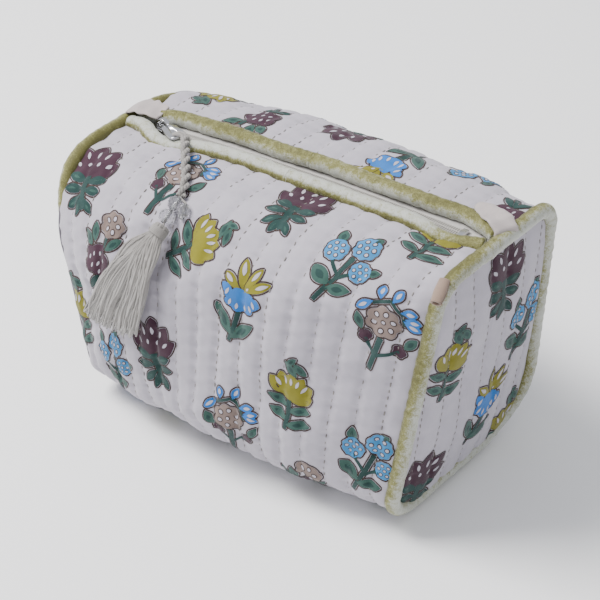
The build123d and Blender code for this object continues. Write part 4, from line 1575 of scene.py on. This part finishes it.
threads = bmesh.new()
rng = np.random.default_rng(7)
at = np.linspace(0, 5, 21)
for k in range(THREAD_COUNT):
    spin = rng.uniform(0, 2 * np.pi)
    deep = math.sqrt(rng.uniform(0.05, 1.0))
    lay = rng.uniform(-1, 1)
    lay = math.copysign(abs(lay) ** 0.85, lay)
    across, level = deep * math.cos(spin), deep * math.sin(spin)
    stray = 1.0 if k % 11 else 2.2
    high = 2.2 + 2.6 * (level + 1) / 2
    flare = lay * 5.4
    head = TASSEL_HEAD + (3.7 * across, -1.3 * level, 3.0 * level) + neck_way * 0.5
    neck = NECK + (3.9 * across, -0.8 * level, 3.3 * level)
    shoulder = (-38.6 + 6.0 * across + flare, -76.0 - high * 0.75, 118.0 + high * 0.6)
    mid = (
        -45.0 + flare * 2.35 + 0.8 * rng.normal(),
        -80.6 - high * 0.9,
        101.5 + rng.normal(),
    )
    low = (
        -51.2 + flare * 2.75 + stray * rng.normal(),
        -81.9 - high * 0.9 + 0.3 * rng.normal(),
        84.5 + rng.normal(),
    )
    reach = rng.normal() * 1.7 - 1.6 * abs(lay) ** 2
    end = (
        -56.8 + flare * 2.95 + 1.3 * stray * rng.normal(),
        -82.0 - high * 0.85 + 0.4 * rng.normal(),
        69.6 - reach + 1.0 * lay,
    )
    line = through(np.array([head, neck, shoulder, mid, low, end]), at)
    line[:, 0] += np.sin(at * 2.1 + k) * 0.28 * (at / 5)
    radius = np.interp(at, [0, 1, 4.4, 5], [0.70, 0.66, 0.74, 0.5])
    tube_into(threads, tube_points(line, False, radius, 5) * MM, False)
skirt = new_piece("tassel_threads", finish_mesh("tassel_threads", threads), TASSEL)
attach(skirt, "tassel")
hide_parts("tassel_skirt")

# six turns of the same thread bind the neck
BIND_TURNS, BIND_STEP = 6, 0.72
middle = (TASSEL_HEAD + NECK * 1.4) / 2.4
angle = np.linspace(0, 2 * np.pi, 40, endpoint=False)
one = np.cross(neck_way, (0, 0, 1.0))
one /= np.linalg.norm(one)
two = np.cross(neck_way, one)
ring = (4.5 * np.cos(angle))[:, None] * one + (4.0 * np.sin(angle))[:, None] * two
levels = (np.arange(BIND_TURNS) - (BIND_TURNS - 1) / 2) * BIND_STEP
turns = [middle + neck_way * level + ring for level in levels]
wrap = tube_piece("tassel_binding", turns, True, 0.42, 6, TASSEL)
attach(wrap, "tassel")
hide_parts("tassel_wrap")
tuple(c * MM for c in CORD_ROUTE[0])

# ---- Floor, light and camera ---------------------------------------------------------
# A plain pale floor, a broad window of soft light high on the left, and a long lens.
floor_work = bmesh.new()
bmesh.ops.create_grid(floor_work, x_segments=1, y_segments=1, size=3.0)
floor_mesh = bpy.data.meshes.new("floor")
floor_work.to_mesh(floor_mesh)
floor_work.free()
floor_finish = bpy.data.materials.new("floor")
floor_finish.use_nodes = True
floor_shader = floor_finish.node_tree.nodes["Principled BSDF"]
floor_shader.inputs["Base Color"].default_value = (0.9, 0.9, 0.9, 1)
floor_shader.inputs["Roughness"].default_value = 0.9
floor = new_piece("floor", floor_mesh, floor_finish)

sky = bpy.data.worlds.new("studio")
bpy.context.scene.world = sky
sky.use_nodes = True
sky.node_tree.nodes["Background"].inputs["Color"].default_value = (0.93, 0.95, 1.0, 1)
sky.node_tree.nodes["Background"].inputs["Strength"].default_value = 0.86


def soft_light(name, place, size, power, colour):
    """A square soft light at a place, aimed at the bag."""
    lamp = bpy.data.lights.new(name, "AREA")
    lamp.shape = "SQUARE"
    lamp.size = size
    lamp.energy = power
    lamp.color = colour
    held = bpy.data.objects.new(name, lamp)
    bpy.context.scene.collection.objects.link(held)
    held.location = place
    aim = Vector((0, 0, 0.07)) - Vector(place)
    held.rotation_euler = aim.to_track_quat("-Z", "Y").to_euler()


soft_light("key", (-0.80, -0.48, 1.55), 0.8, 60.0, (1.0, 0.985, 0.975))
soft_light("fill", (0.9, -0.9, 0.7), 1.0, 2.0, (0.95, 0.97, 1.0))

lens = bpy.data.cameras.new("camera")
lens.sensor_width = 36.0
lens.lens = 132.0
eye = bpy.data.objects.new("camera", lens)
bpy.context.scene.collection.objects.link(eye)
eye.location = (0.5787, -0.7069, 0.7471)
look = -Vector((0.5083, -0.6184, 0.5993))
eye.rotation_euler = look.to_track_quat("-Z", "Y").to_euler()
bpy.context.scene.camera = eye
